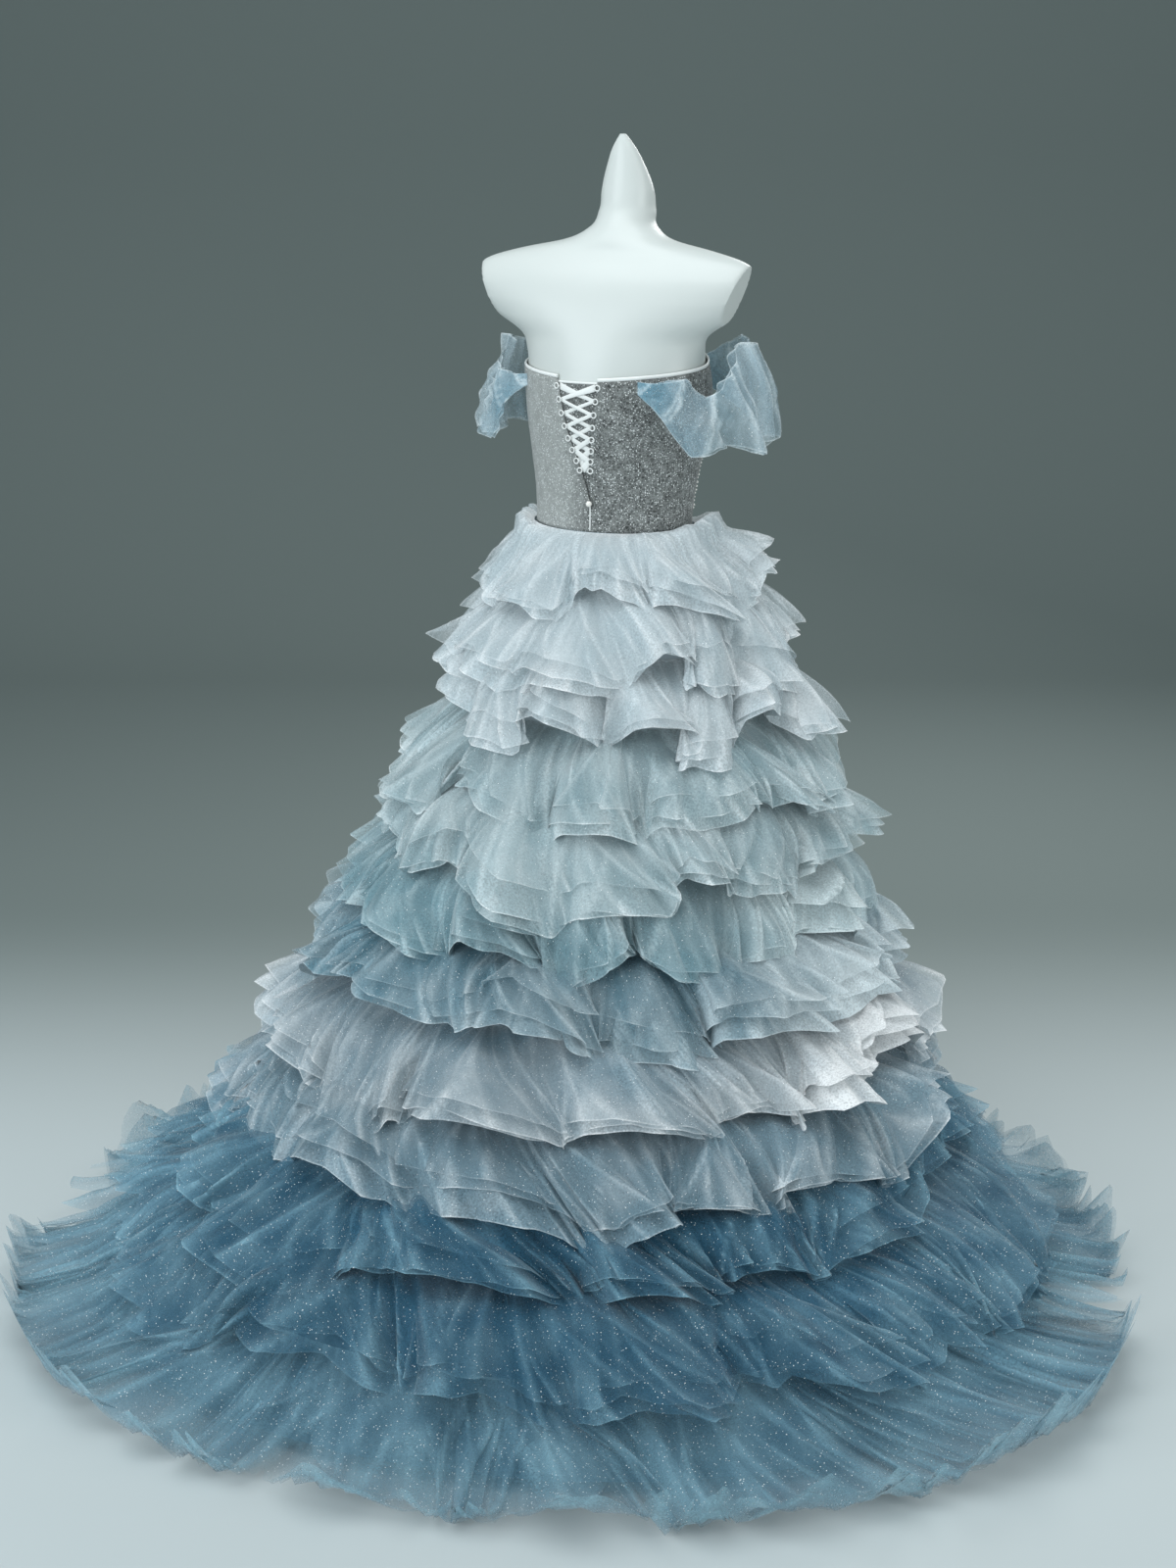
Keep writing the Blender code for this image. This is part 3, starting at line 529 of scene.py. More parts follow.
TULLES = {
    "tulle_ice": tulle("ice_blue_tulle", "#cbdbe1", "#ffffff", 0.10),
    "tulle_aqua": tulle("greyed_aqua_tulle", "#a4bfc6", "#f6fbfb", 0.16),
    "tulle_slate": tulle("slate_teal_tulle", "#7ea4af", "#dfecee", 0.24),
    "tulle_mid_blue": tulle("mid_blue_tulle", "#5a8798", "#d8e4e8", 0.30),
    "tulle_silver": tulle("silver_white_tulle", "#7f9dab", "#f6f9fa", 0.40),
    "tulle_deep_blue": tulle("deep_blue_tulle", "#26637f", "#9dcada", 0.40),
    "tulle_sleeve": tulle("sleeve_tulle", "#699cb1", "#ecf5f7", 0.14),
}
FOUNDATION = foundation_cloth()
print("nets", sorted(TULLES))

# %% [markdown]
# The form is a shell with rounded shoulder stubs cut flat at their ends and a neck drawn to an oblique
# point. It could be sculpted, but a loft through the same sections, with more rows and columns than the
# solid, keeps its outline true.


# %% form
def make_form():
    """Loft through the form's sections from the top down, its stubs cut by two leaning planes, closed
    by two fans."""
    z = np.concatenate([np.linspace(FORM_SECTIONS[-1].z, SHOULDER_FROM, 110),
                        np.linspace(SHOULDER_FROM, FORM_SECTIONS[0].z, 60)[1:]])[:, None]
    angle = around(128)
    rings = body_point(angle, z)
    cap = STUB_CAP + STUB_CAP_LEAN * (rings[..., 2] - STUB_CAP_Z)
    rings[..., 0] = np.where(rings[..., 2] > SHOULDER_FROM, np.clip(rings[..., 0], -cap, cap), rings[..., 0])
    rows, columns = rings.shape[:2]
    faces = grid_quads(rows, columns, True).tolist()
    top, foot = rows * columns, rows * columns + 1
    faces += [(top, c, (c + 1) % columns) for c in range(columns)]
    last = (rows - 1) * columns
    faces += [(foot, last + (c + 1) % columns, last + c) for c in range(columns)]
    points = np.concatenate([rings.reshape(-1, 3), [rings[0].mean(axis=0)], [rings[-1].mean(axis=0)]])
    made = add_mesh("form_shell", points, faces, LACQUER)
    made.data.set_sharp_from_angle(angle=np.radians(50))
    return made


place(make_form(), "form_gloss_white", "form_torso")
for name in ("form_pole", "form_plate"):
    steel_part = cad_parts[name]
    steel_part.data.materials.clear()
    steel_part.data.materials.append(STEEL)
print("form and its stand")

# %% [markdown]
# The bodice is five panels of lace, cut as in the CAD part and drawn in finer rows. Ruching was left
# out of the solids, so it is added here as small upright folds near the wearer's left, where the
# photograph shows it. Each panel sinks by half a millimetre towards its seams, as sewn cloth does.

# %% bodice panels
RUCHE_AT, RUCHE_SPREAD, RUCHE_DEPTH, RUCHE_COUNT = np.radians(112), np.radians(14), 0.0009, 90
SEAM_DIP, SEAM_DIP_WIDTH, PANEL_ROWS = 0.0005, 0.06, 44


def make_panel(name, edge_a, edge_b, columns):
    """Lace panel: rows run from the top edge to the waist, columns between two edges given as angles at
    each height."""
    across = np.linspace(0, 1, columns)[None, :]
    up = np.linspace(1, 0, PANEL_ROWS)[:, None]
    z = np.full((PANEL_ROWS, columns), WAIST_Z)
    for _ in range(4):
        angle = edge_a(z) * (1 - across) + edge_b(z) * across
        z = WAIST_Z + (top_edge(angle) - WAIST_Z) * up
    near = bell(angle % (2 * np.pi), RUCHE_AT, RUCHE_SPREAD)
    ruche = RUCHE_DEPTH * near * np.sin(RUCHE_COUNT * angle + 2 * np.sin(40 * z)) * up
    edge = np.minimum(across, 1 - across) / SEAM_DIP_WIDTH
    dip = SEAM_DIP * (1 - np.clip(edge, 0, 1)) ** 2
    outer = body_point(angle, z, BODICE_OFF + CLOTH + ruche - dip)
    made = add_wall(name + "_lace", outer, body_point(angle, z, BODICE_OFF), LACE)
    place(made, "glitter_lace", name)
    return angle[0]


def seam_line(degrees, side):
    """Edge along a straight seam, half a seam gap to one side of it."""
    return lambda z: np.radians(degrees) + side * SEAM / 2 / smooth_table(FORM_SECTIONS, "w", z)


def lacing_edge(side):
    """Edge of the lacing gap on one side, as an angle at each height."""
    return lambda z: back_angle(smooth_table(LACE_GAP, side, z), z, BODICE_OFF + CLOTH)


panels = [("bodice_back_right", lacing_edge("right"), seam_line(360 - SIDE_SEAM, -1), 56),
          ("bodice_side_right", seam_line(360 - SIDE_SEAM, 1), seam_line(360 - FRONT_SEAM, -1), 44),
          ("bodice_front", seam_line(-FRONT_SEAM, 1), seam_line(FRONT_SEAM, -1), 56),
          ("bodice_side_left", seam_line(FRONT_SEAM, 1), seam_line(SIDE_SEAM, -1), 44),
          ("bodice_back_left", seam_line(SIDE_SEAM, 1), lacing_edge("left"), 50)]
tops = [make_panel(*panel) for panel in panels]
tops = [top - 2 * np.pi * (side < 2) for side, top in enumerate(tops)]     # the first two start at the back

# %% [markdown]
# The narrow trims all run along a line on the body, so one function draws them: an oval carried along a
# path, with its ends closed. It makes the binding of the top edge, the edge of the modesty panel and
# the stitched closing below.


# %% trims
def add_moulding(name, path, outward, tall, deep, finish, sides=10):
    """Oval section carried along a path: deep along the outward direction and tall across it, closed at
    both ends."""
    across = unit(np.cross(np.gradient(path, axis=0), outward))
    turn = around(sides)[..., None]
    rings = path[:, None] + outward[:, None] * deep / 2 * np.cos(turn)
    rings = rings + across[:, None] * tall / 2 * np.sin(turn)
    rows = len(path)
    faces = grid_quads(rows, sides, True).tolist()
    faces += [tuple(range(sides)), tuple(range(rows * sides - 1, (rows - 1) * sides - 1, -1))]
    return add_mesh(name, rings, faces, finish)


def body_line(angle, z, off):
    """Path on the body and its outward directions, from the difference of two offsets."""
    path = body_point(angle, z, off)
    return path, unit(body_point(angle, z, off + 0.001) - body_point(angle, z, off))


edge_angles = np.concatenate([tops[0]] + [top[1:] for top in tops[1:]])
binding_z = top_edge(edge_angles) + SEAM + BINDING_HEIGHT / 2
path, outward = body_line(edge_angles, binding_z, BODICE_OFF + CLOTH / 2)
binding = add_moulding("top_binding", path, outward, BINDING_HEIGHT, CLOTH + 0.0016, WHITE_SATIN)
place(binding, "white_satin", "bodice_binding")

z = np.linspace(MODESTY_TO, MODESTY_FROM, 40)[:, None]
across = np.linspace(0, 1, 30)[None, :]
x = (smooth_table(LACE_GAP, "left", z) + MODESTY_LAP) * across
x = x + (smooth_table(LACE_GAP, "right", z) - MODESTY_LAP) * (1 - across)
angle = back_angle(x, z)[:, ::-1]
modesty = add_wall("modesty_lace", body_point(angle, z, MODESTY_OFF + MODESTY_WALL)[:, ::-1],
                   body_point(angle, z, MODESTY_OFF)[:, ::-1], MODESTY_CLOTH)
place(modesty, "grey_satin", "modesty_panel")
body_point(angle, z, MODESTY_OFF)
path, outward = body_line(angle[0], np.full(30, MODESTY_TO), MODESTY_OFF + MODESTY_WALL / 2)
strip = add_moulding("modesty_binding", path, outward, 0.0036, MODESTY_WALL + 0.0012, WHITE_SATIN)
place(strip, "white_satin")
print("binding of", len(edge_angles), "steps")

# %% [markdown]
# The lacing is one flat satin tape that crosses itself down the gap, held by a row of small loops on
# each side. It is drawn as two zigzags, one over the other, as in the CAD part, with a slightly domed
# face.


# %% lacing
LOOP_RADIUS, CORD_RADIUS, LOOP_CLEAR = 0.0040, 0.0010, 0.0012


def make_lace(name, node_name, off, first):
    """Flat tape through corners on alternate sides; at a corner its edges meet on the line that halves
    the bend."""
    z = np.array(LACE_LEVELS)
    left = smooth_table(LACE_GAP, "left", z) - LACE_CLEAR
    right = smooth_table(LACE_GAP, "right", z) + LACE_CLEAR
    line = np.stack([np.where((np.arange(len(z)) + first) % 2 == 0, left, right), z], axis=1)
    run = unit(np.diff(line, axis=0))
    side = np.stack([-run[:, 1], run[:, 0]], axis=1)
    before = np.vstack([side[:1], side])
    mitre = unit(before + np.vstack([side, side[-1:]]))
    reach = LACE_WIDTH / 2 / np.maximum(np.sum(mitre * before, axis=1), 0.75)
    edges = np.stack([line + mitre * reach[:, None], line - mitre * reach[:, None]], axis=1)
    along = np.linspace(0, len(z) - 1, (len(z) - 1) * 12 + 1)
    a, b = (np.stack([np.interp(along, np.arange(len(z)), edges[:, k, axis]) for axis in (0, 1)],
                     axis=1)[:, None] for k in (0, 1))
    across = np.linspace(0, 1, 7)[None, :, None]
    flat = a * (1 - across) + b * across
    x = np.clip(flat[..., 0], smooth_table(LACE_GAP, "right", flat[..., 1]) + LACE_CLEAR / 2,
                smooth_table(LACE_GAP, "left", flat[..., 1]) - LACE_CLEAR / 2)
    angle = back_angle(x, flat[..., 1])
    dome = 1 - 0.5 * (2 * across[..., 0] - 1) ** 2
    outer = body_point(angle, flat[..., 1], off + LACE_WALL * dome)
    made = add_wall(name, outer, body_point(angle, flat[..., 1], off), WHITE_SATIN)
    return place(made, "white_satin", node_name)


def add_copies(name, mould, faces, centres, frames, finish):
    """Copies of one small mould in one mesh: its points by a frame of three directions, at each
    centre."""
    count = np.arange(len(centres))[:, None, None] * len(mould)
    faces = (faces[None] + count).reshape(-1, faces.shape[1]).tolist()
    return add_mesh(name, centres[:, None] + mould @ frames, faces, finish)


def loop_mould(rings=20, sides=8):
    """Round loop of thin cord in its own plane: a tube carried round a circle."""
    u, v = around(rings).T, around(sides)
    spoke = LOOP_RADIUS + CORD_RADIUS * np.cos(v)
    points = np.stack([np.cos(u) * spoke, np.sin(u) * spoke, 0 * u + CORD_RADIUS * np.sin(v)], axis=-1)
    return points.reshape(-1, 3), grid_quads(rings + 1, sides, True) % (rings * sides)


make_lace("lacing_tape_under", "lace_under", LACE_UNDER_OFF, 0)
make_lace("lacing_tape_over", "lace_over", LACE_OVER_OFF, 1)
levels = np.array(LACE_LEVELS)
for side, sign in (("left", 1), ("right", -1)):
    place_x = smooth_table(LACE_GAP, side, levels) + sign * LOOP_CLEAR
    angle = back_angle(place_x, levels, BODICE_OFF)
    centres, outward = body_line(angle, levels, BODICE_OFF + CLOTH + LOOP_CLEAR)
    across = unit(np.cross(outward, np.array([0.0, 0.0, 1.0])))
    frames = np.stack([across, np.cross(across, outward), outward], axis=1)
    loops = add_copies("lacing_loops_" + side, *loop_mould(), centres, frames, WHITE_SATIN)
    place(loops, "white_satin")

bpy.ops.mesh.primitive_uv_sphere_add(segments=32, ring_count=20, radius=BUTTON_RADIUS)
button = bpy.context.active_object
button.name = "pearl"
spot = body_point(np.pi, BUTTON_Z, BODICE_OFF + CLOTH + BUTTON_RADIUS + 2 * SEAM) + AXIS
button.data.transform(Matrix.Translation(spot.tolist()))
button.data.shade_smooth()
button.data.materials.append(PEARL)
place(button, "pearl", "pearl_button")

z = np.linspace(BUTTON_Z - BUTTON_RADIUS, WAIST_Z + 0.002, 24)
path, outward = body_line(np.full(24, np.pi), z, BODICE_OFF + CLOTH + 0.0004)
place(add_moulding("closing_stitch", path, outward, 0.0022, 0.0014, WHITE_SATIN), "white_satin")
print("lacing with", 2 * len(levels), "loops")

# %% [markdown]
# Small beads edge the side of the bodice and make a little spray where the right sleeve is gathered in
# front. They could be single objects, but copies of one ball in one mesh are lighter and do not differ.


# %% beads
def ball_mould():
    """Ball of 80 faces and radius 1."""
    ball = bpy.data.meshes.new("ball")
    mould = bmesh.new()
    bmesh.ops.create_icosphere(mould, subdivisions=2, radius=1.0)
    mould.to_mesh(ball)
    mould.free()
    points = np.empty(len(ball.vertices) * 3)
    ball.vertices.foreach_get("co", points)
    corners = np.empty(len(ball.loops), dtype=np.int32)
    ball.loops.foreach_get("vertex_index", corners)
    bpy.data.meshes.remove(ball)
    return points.reshape(-1, 3), corners.reshape(-1, 3)


def add_beads(name, centres, radii):
    """Pearl beads of given radii at given places."""
    frames = radii[:, None, None] * np.eye(3)
    return place(add_copies(name, *ball_mould(), centres, frames, PEARL), "pearl")


SIDE_BEADS, SIDE_ANGLE, SIDE_SPREAD, SIDE_FROM, SIDE_RISE = 30, np.radians(291), 0.05, 1.085, 0.165
SPRIGS, SPRIG_BEADS = 5, 7
SPRAY_ANGLE, SPRAY_FAN, SPRAY_FROM, SPRAY_RISE = np.radians(318), 0.17, 1.282, 0.042
bead_rng = np.random.default_rng(31)
along = np.linspace(0, 1, SIDE_BEADS)
angle = SIDE_ANGLE + SIDE_SPREAD * bead_rng.uniform(-1, 1, SIDE_BEADS)
centres = body_point(angle, SIDE_FROM + SIDE_RISE * along, BODICE_OFF + CLOTH + 0.001)
add_beads("side_beads", centres, bead_rng.uniform(0.0012, 0.0022, SIDE_BEADS))
along = np.tile(np.linspace(0, 1, SPRIG_BEADS), SPRIGS)
lean = np.repeat(np.linspace(-1, 1, SPRIGS), SPRIG_BEADS)
angle = SPRAY_ANGLE + SPRAY_FAN * lean * along
centres = body_point(angle, SPRAY_FROM + SPRAY_RISE * along * np.cos(lean), BODICE_OFF + CLOTH + 0.010)
add_beads("beaded_spray", centres, 0.0024 - 0.0012 * along)
print("beads", SIDE_BEADS + SPRIGS * SPRIG_BEADS)

# %% [markdown]
# A fold of tulle is sharp, uneven and never repeats. Sines would give soft even waves, so folds are
# zigzags whose ridges and valleys stand at uneven angles and heights. A tier has three kinds: broad tubes
# that its three layers share, creases between them, and fine folds in the gathers at the seam. From the
# slope of the finished surface comes how dense the net looks.


# %% folds
Folds = namedtuple("Folds", "height ridge length lean stand")


def folds_round(angle, count, rng):
    """Uneven folds round a ring, read at each angle by straight lines between knots that are ridges and
    valleys by turns. height is about 1 on a ridge and -1 in a valley, ridge how near a ridge line is,
    from 0 to 1. length, lean and stand are three values from -1 to 1 that each fold has by chance: how
    low it hangs, sways aside and stands out."""
    knots = (np.arange(2 * count) + rng.uniform(-0.32, 0.32, 2 * count)) * np.pi / count
    heights = np.tile([1.0, -1.0], count) * rng.uniform(0.25, 1.0, 2 * count)
    near = np.interp(angle, knots, np.tile([1.0, 0.0], count), period=2 * np.pi)
    chances = [np.interp(angle, knots, np.repeat(rng.uniform(-1, 1, count), 2), period=2 * np.pi)
               for _ in range(3)]
    ridge = np.clip((near - 0.80) / 0.20, 0, 1)
    return Folds(np.interp(angle, knots, heights, period=2 * np.pi), ridge, *chances)


def crumple(angle, down, rng):
    """Unevenness of about 1: a sum of seven waves of random direction and phase over angle and
    depth."""
    total = 0.0
    for _ in range(7):
        total = total + np.sin(rng.integers(9, 70) * angle + rng.uniform(2, 11) * down + rng.uniform(0, 6.3))
    return total / 3


def slope_of(points, normal, wraps):
    """How far a grid's faces turn away from the surface that it follows, 0 flat on it and 1 on edge."""
    along = np.gradient(points, axis=1)
    if wraps:
        along = np.roll(points, -1, axis=1) - np.roll(points, 1, axis=1)
    own = unit(np.cross(np.gradient(points, axis=0), along))
    return 1 - np.abs(np.sum(own * normal, axis=-1))


Net = namedtuple("Net", "base ridge fine slope gathers hem")


def blend(net, ridge, fine, slope, gathers, hem):
    """Frost, paleness with its painted highlight, or cover at each point: what every feature adds,
    weighed by the row of the table.
    """
    return (net.base + net.ridge * ridge + net.fine * fine + net.slope * slope + net.gathers * gathers
            + net.hem * hem)


def net_values(frost, cover, shape):
    """The two attributes of a net's points, kept between 0 and 1."""
    return {key: np.clip(np.broadcast_to(value, shape), 0, 1)
            for key, value in (("frost", frost), ("cover", cover))}


# FROST_AND_HIGHLIGHT gives the painted highlight of each feature, COVER its density.
FROST_AND_HIGHLIGHT, COVER = Net(0.08, 0.40, 0.20, 0.28, 0.20, 0.50), Net(0.0, 0.25, 0.10, 0.38, 0.35, 0.34)
TIER_DOWN = np.concatenate([np.linspace(0, 0.12, 4), np.linspace(0.12, 0.97, 13)[1:], [0.985, 1.0]])
OMEGA, SWAY = 0.85, 0.30
BUNCH_SHARE, BUNCH = 0.65, 0.86         # bunches of the seam's gathers for each wave, and how tight
TUBE_SHARE, TUBE_DEPTH = 1.4, 0.55      # broad tube folds for each wave, and their depth in wave heights
TUBE_CUT, CREASE_CUT, TUBE_LEAN, TUBE_STAND = 0.25, 0.08, 0.030, 0.55
TUBE_SEED, TUBE_RIDGE = 600, 0.8
RAGGED, PUFF, CRUMPLE = 0.090, 0.32, 0.004
FINE_SHARE, CREASE_LEAN, CREASE_LIFT = 0.25, 0.9, 0.40      # parts of a crease's depth
HEM_SHORT, HEM_LONG, LEAST_OFF = 0.45, 1.50, 0.0004
GATHER_REACH, HEM_FROM = 0.10, 0.985
HEM_HIGHLIGHT_FADE, HEM_COVER_FADE, PATCH_COVER = 0.6, 0.5, 0.4
Layer = namedtuple("Layer", "tag lift reach veil fold ragged seed")
LAYERS = [Layer("under", -0.004, 1.04, 0.56, 0.9, 0.6, 100),
          Layer("outer", 0.004, 0.98, 0.36, 1.15, 1.0, 200),
          Layer("veil", 0.010, 0.84, 0.20, 1.25, 1.6, 300)]
Tier = namedtuple("Tier", "top low flare wave waves turn columns folds fold tone hem_tone slot")
TIERS = [Tier(*row) for row in [
    (1.0585, 0.950, 0.044, 0.016, 12, 10, 420, 34, 0.009, 0.05, 0.03, "tulle_ice"),
    (0.984, 0.852, 0.052, 0.020, 13, 41, 450, 36, 0.011, 0.00, 0.00, "tulle_ice"),
    (0.887, 0.760, 0.054, 0.022, 14, 77, 480, 38, 0.013, 0.12, -0.03, "tulle_ice"),
    (0.795, 0.665, 0.055, 0.023, 14, 14, 510, 40, 0.014, 0.05, 0.00, "tulle_aqua"),
    (0.700, 0.572, 0.056, 0.024, 15, 53, 540, 42, 0.015, 0.11, 0.00, "tulle_aqua"),
    (0.607, 0.480, 0.056, 0.024, 15, 96, 570, 44, 0.016, 0.18, -0.04, "tulle_slate"),
    (0.515, 0.385, 0.056, 0.024, 16, 25, 600, 48, 0.017, -0.15, 0.20, "tulle_mid_blue"),
    (0.418, 0.285, 0.056, 0.024, 16, 62, 630, 50, 0.018, -0.11, 0.17, "tulle_silver"),
    (0.318, 0.205, 0.052, 0.023, 17, 110, 670, 54, 0.018, 0.00, -0.12, "tulle_silver"),
    (0.236, 0.130, 0.048, 0.022, 18, 33, 710, 60, 0.020, -0.05, 0.00, "tulle_deep_blue"),
    (0.158, 0.062, 0.042, 0.020, 19, 81, 760, 68, 0.021, -0.06, 0.02, "tulle_deep_blue"),
    (0.088, 0.000, 0.020, 0.016, 20, 5, 820, 78, 0.020, 0.14, 0.26, "tulle_deep_blue")]]
# Patches of painted light and shade round some tiers: paler where the value is above 0, painted shade where
# it is below 0.
Patch = namedtuple("Patch", "tiers side spread frost")
LIGHT_AND_SHADE_PATCHES = [Patch((6, 7, 8), 252, 26, 0.60), Patch((6, 7), 142, 24, -0.20), Patch((6, 7), 222, 13, -0.22),
           Patch((9, 10, 11), 186, 34, -0.12), Patch((10, 11, 12), 110, 40, 0.08)]
SLIM_SIDE, SLIM_SPREAD, SLIM = np.radians(98), np.radians(38), 0.40     # stands out less on this side
LONG_HEM, FADE, JAGGED = {11: 0.05, 12: 0.15}, {10: 0.15, 11: 0.35, 12: 0.62}, {11: 2.2, 12: 4.2}
WAIST_RISE, RISE_AT, RISE_SPREAD = 0.020, 0.16, 0.12    # tier 1 puffs up over the waist at its sides


def swell(angle, counts, rng):
    """Slow unevenness of about 1 round a ring: sines of the given whole counts, each at a random
    phase."""
    return sum(np.sin(count * angle + rng.uniform(0, 6.3)) for count in counts) / len(counts) ** 0.5


def tier_points(number, tier, layer, rng):
    """Points of one layer of net: the guide surface pushed out by flare, the CAD part's waves, broad
    tubes and narrow creases that grow towards the hem. Columns crowd at the seam's bunches and fan out
    below, the waves close in on themselves towards the hem, and each tube hangs, sways and stands by
    its own amount. What would pass the floor spreads on it."""
    down = TIER_DOWN[:, None]
    even = around(tier.columns)
    turn = np.radians(tier.turn)
    gather = 2 * np.pi / tier.waves
    drift = DRIFT * gather * down
    angle = even + turn + drift * np.sin(2 * even + 3 * turn) + 0.5 * drift * np.sin(5 * even + turn)
    closing = OMEGA * (1 + 0.25 * swell(even, (2, 5), rng))
    angle = angle + closing / tier.waves * down ** 2 * np.sin(tier.waves * even)
    bunches = round(BUNCH_SHARE * tier.waves)
    angle = angle - BUNCH * (1 - down) ** 1.2 / bunches * np.sin(bunches * even + rng.uniform(0, 6.3))
    swayed = even + SWAY * gather * down * np.sin(3 * even + rng.uniform(0, 6.3))
    shared = np.random.default_rng(TUBE_SEED + number)
    tubes = folds_round(even, round(TUBE_SHARE * tier.waves), shared)
    creases = folds_round(swayed, tier.folds, shared if number in JAGGED else rng)
    fine = folds_round(even, 2 * tier.folds, rng)
    jags = CREASE_CUT * JAGGED.get(number, 1) * (0.5 * creases.length + 0.7 * creases.height)
    hem = layer.reach + LONG_HEM.get(number, 0) + TUBE_CUT * tubes.length + jags
    hem = hem + layer.ragged * RAGGED * swell(even, (1, 2, 3, 5), rng)
    hem = hem + HEM_UNEVEN * (np.sin(3 * even + 2 * turn) + np.sin(tier.waves * even))
    z = tier.top - (tier.top - tier.low) * down * np.clip(hem, HEM_SHORT, HEM_LONG)
    size = 1 + UNEVEN * np.sin(4 * even + 5 * turn)
    wave = tier.wave * size * (0.9 * np.cos(tier.waves * even) + 0.2) * down ** 1.2
    tube = TUBE_DEPTH * tier.wave * tubes.height * down ** 0.8
    depth = tier.fold * layer.fold
    fold = depth * creases.height * down ** 0.9
    fold = fold + depth * FINE_SHARE * fine.height * (0.20 + 0.80 * down)
    puff = PUFF * np.sin(np.pi * down) * (1 + 0.5 * swell(even, (3, 8), rng))
    slim = 1 - SLIM * bell(angle % (2 * np.pi), SLIM_SIDE, SLIM_SPREAD)
    stand = tier.flare * slim * (down * (1 + TUBE_STAND * tubes.stand * down) + puff)
    off = TIER_SEAM + stand + wave + tube + layer.lift * down + fold
    off = np.maximum(off + CRUMPLE * crumple(even, down, rng) * down, LEAST_OFF)
    over = np.maximum(FLOOR_CLEAR - z, 0)
    z = np.maximum(z, FLOOR_CLEAR)
    surface, normal = skirt_point(angle, z), skirt_normal(angle, z)
    sideways = unit(np.cross(np.array([0.0, 0.0, 1.0]), normal))
    aside = TUBE_LEAN * tubes.lean * down ** 1.5
    aside = aside + CREASE_LEAN * creases.lean * creases.height * depth * down
    points = surface + normal * (off + over)[..., None] + sideways * aside[..., None]
    lowest = FLOOR_CLEAR + CREASE_LIFT * depth * (creases.height + 1) * down
    points[..., 2] = np.maximum(points[..., 2], lowest)
    if number == 1:
        rise = WAIST_RISE * np.sin(angle) ** 2 * bell(down, RISE_AT, RISE_SPREAD)
        rise = rise * (1 + 0.2 * creases.height)
        points = points + normal * (0.5 * rise)[..., None]
        points[..., 2] = points[..., 2] + rise
    return points, normal, angle, tubes, creases, fine


def make_layer(number, tier, layer):
    """One layer of a tier as a closed ring of net, with cover from its folds, its gathers and its hem, and
    frost from the same, a painted highlight, shifted by its tone and by patches of painted light and shade."""
    rng = np.random.default_rng(layer.seed + number)
    points, normal, angle, tubes, creases, fine = tier_points(number, tier, layer, rng)
    ridge = np.maximum(creases.ridge, TUBE_RIDGE * tubes.ridge)
    down = TIER_DOWN[:, None]
    slope = slope_of(points, normal, True)
    gathers = np.exp(-down / GATHER_REACH)
    hem = np.clip((down - HEM_FROM) / (1 - HEM_FROM), 0, 1) * (0.65 + 0.35 * creases.stand)
    fade = FADE.get(number, 0)
    patches = [patch for patch in LIGHT_AND_SHADE_PATCHES if number in patch.tiers]
    near = [bell(np.degrees(angle % (2 * np.pi)), patch.side, patch.spread) for patch in patches]
    patch_light_and_shade = sum((patch.frost * close for patch, close in zip(patches, near)), 0 * angle)
    # The tone shifts each tier's paleness from seam to hem; the darker tones of tiers 10 and 11 are painted
    # shade.
    tone = tier.tone + (tier.hem_tone - tier.tone) * down
    # Painted highlight from the folds, gathers and hem, shifted by the tier's tone and the painted patches.
    frost = blend(FROST_AND_HIGHLIGHT, ridge * down, fine.ridge, slope, gathers, hem) + tone + patch_light_and_shade
    frost = frost - HEM_HIGHLIGHT_FADE * fade * hem
    cover = blend(COVER, ridge, fine.ridge, slope, gathers, hem) + layer.veil
    cover = cover + PATCH_COVER * np.abs(patch_light_and_shade) - HEM_COVER_FADE * fade * hem
    cover = cover * (1 - fade * down ** 3 * (1.15 - 0.40 * creases.height))
    shape = points.shape[:2]
    made = add_mesh(f"tier_{number:02d}_{layer.tag}", points, grid_quads(*shape, True).tolist(),
                    TULLES[tier.slot], net_values(frost, cover, shape))
    place(made, tier.slot, f"tier_{number:02d}")


# %% [markdown]
# The foundation skirt carries the tiers. It shows only as the darker cloth behind the net, so it stays
# smooth, but it reaches the floor as the solid does.


# %% foundation skirt
def make_foundation():
    """Smooth ring surface on the guide, from the waist to just above the floor."""
    spans = zip(SKIRT_ROWS[:-2], SKIRT_ROWS[1:-1])
    z = np.concatenate([np.linspace(a.z, b.z, 6, endpoint=False) for a, b in spans]
                       + [[SKIRT_ROWS[-2].z]])[:, None]
    angle = around(168)
    points = skirt_point(angle, z)
    made = add_mesh("foundation_skirt", points, grid_quads(*points.shape[:2], True).tolist(), FOUNDATION)
    place(made, "tulle_foundation", "skirt_base")


make_foundation()

# %% [markdown]
# Each tier is three layers of net gathered together on one seam, so that their hems part and their folds
# cross, which gives the soft depth of the skirt. One ring for each tier would look like plastic, and
# more than three adds little.

# %% tiers
for number, tier in enumerate(TIERS, start=1):
    for layer in LAYERS:
        make_layer(number, tier, layer)

# %% [markdown]
# The sleeves are puffs of the same crisp net, gathered to the bodice's top edge behind and in front.
# Their creases fan out from the two gathers. The net is painted paler where it swings out and deepest
# near the body, a painted shade there.


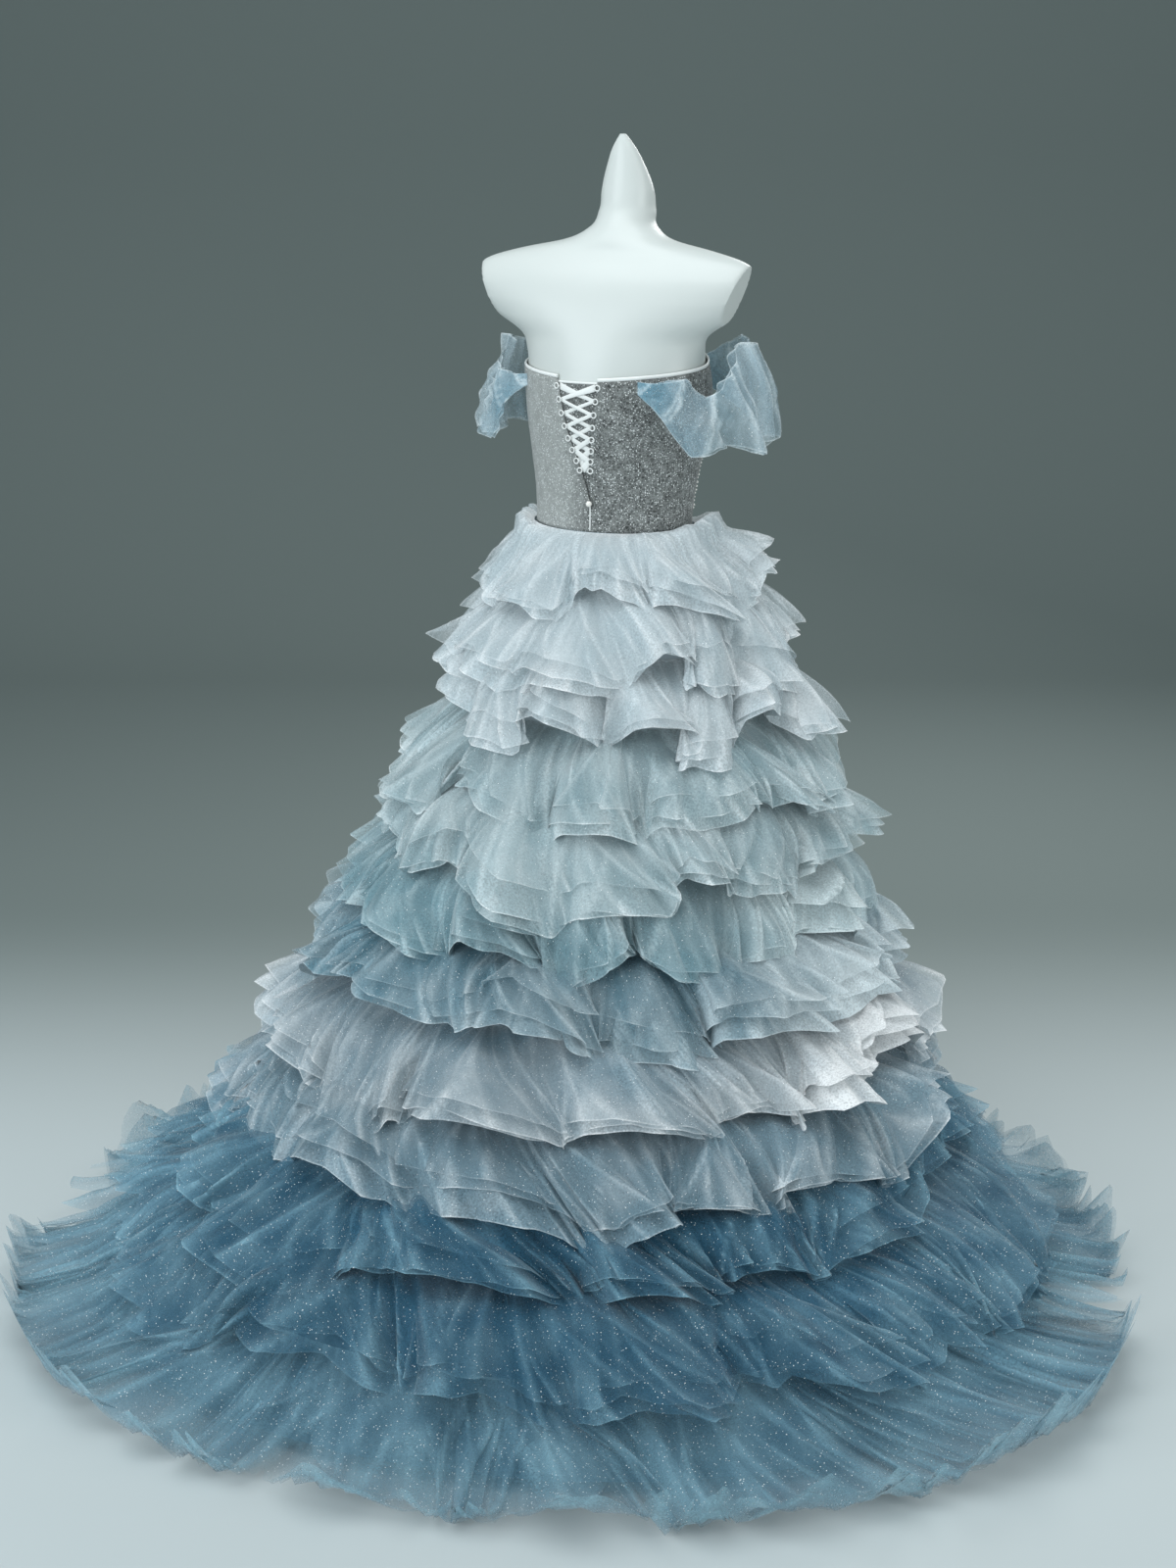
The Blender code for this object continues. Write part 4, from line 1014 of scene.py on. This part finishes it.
# %% sleeves
SleeveLayer = namedtuple("SleeveLayer", "tag lift veil seed")
SLEEVE_LAYERS = [SleeveLayer("inner", -0.003, 0.24, 400), SleeveLayer("outer", 0.002, 0.20, 500)]
SLEEVE_CREASES, SLEEVE_FINE, SLEEVE_LOBES = 7, 22, 3.3
SLEEVE_FROST_AND_HIGHLIGHT, SLEEVE_COVER = Net(0.02, 0.38, 0.12, 0.28, 0.0, 0.45), Net(0.0, 0.26, 0.06, 0.28, 0.45, 0.34)
SLEEVE_GATHER, SLEEVE_HEM, SLEEVE_PAINTED_LIGHT = 0.08, 0.95, 0.34
CREASE_DEPTH, FINE_DEPTH, CRUMPLE_DEPTH, LOBE_DEPTH = 0.011, 0.0012, 0.004, 0.007


def make_sleeve(sleeve, layer):
    """Sleeve drape: the CAD part's swing out round the arm's place, with a few sharp creases and a
    crumpled face."""
    rng = np.random.default_rng(layer.seed + sleeve.side)
    t = np.linspace(0, 1, 170)[None, :]
    up = np.linspace(1, 0, 40)[:, None]
    angle = sleeve.side * np.radians(sleeve.back + (SLEEVE_FRONT - sleeve.back) * t)
    low, high = (np.interp(t, [e.t for e in SLEEVE_EDGES], [getattr(e, key) for e in SLEEVE_EDGES])
                 for key in ("low", "high"))
    high = high - sleeve.slip * np.sin(np.pi * t)
    swing = np.sin(np.pi * t) ** SLEEVE_SWING
    slanted = 2 * np.pi * (t + 0.10 * (up - 0.5) * np.sin(2 * np.pi * t + layer.seed))
    creases = folds_round(slanted, SLEEVE_CREASES, rng)
    fine = folds_round(2 * np.pi * (t + 0.03 * np.sin(7 * up)), SLEEVE_FINE, rng)
    lobe = np.sin(2 * np.pi * SLEEVE_LOBES * t + layer.seed) * np.sin(np.pi * t)
    z = low + (high - low) * up + LOBE_DEPTH * lobe * (2 * up - 1)
    puff = 1 - SLEEVE_TUCK * up ** 2
    wave = SLEEVE_WAVE * np.sin(np.pi * t) * np.sin(2 * np.pi * SLEEVE_WAVES * t + SLEEVE_SLANT * up)
    fold = CREASE_DEPTH * creases.height * swing + FINE_DEPTH * fine.height
    fold = fold + CRUMPLE_DEPTH * crumple(2 * t, 2 * up, rng) * swing
    off = SLEEVE_OFF + sleeve.reach * swing * puff + wave * swing + fold + layer.lift * swing
    held_z = SLEEVE_LEVEL + (np.minimum(z, SLEEVE_HELD_TO) - SLEEVE_LEVEL) * (1 - swing)
    points = body_point(angle, held_z, np.maximum(off, SLEEVE_OFF * 0.8))
    points[..., 2] = z
    normal = body_point(angle, held_z, 0.11) - body_point(angle, held_z, 0.10)
    normal[..., 2] = 0
    slope = slope_of(points, unit(normal), False)
    hem = np.clip((np.abs(2 * up - 1) - SLEEVE_HEM) / (1 - SLEEVE_HEM), 0, 1)
    gathers = np.exp(-np.minimum(t, 1 - t) / SLEEVE_GATHER)
    shows = creases.ridge, fine.ridge, slope, gathers, hem
    # Painted light: the net is drawn paler as it swings away from the body, painted shade leaving it deep
    # near the body.
    frost = blend(SLEEVE_FROST_AND_HIGHLIGHT, *shows) + SLEEVE_PAINTED_LIGHT * swing ** 2
    values = net_values(frost, blend(SLEEVE_COVER, *shows) + layer.veil, points.shape[:2])
    quads = grid_quads(*points.shape[:2])
    faces = (quads if sleeve.side > 0 else quads[:, ::-1]).tolist()
    made = add_mesh(f"{sleeve.name}_{layer.tag}", points, faces, TULLES["tulle_sleeve"], values)
    place(made, "tulle_sleeve", sleeve.name)


for sleeve in SLEEVES:
    for layer in SLEEVE_LAYERS:
        make_sleeve(sleeve, layer)
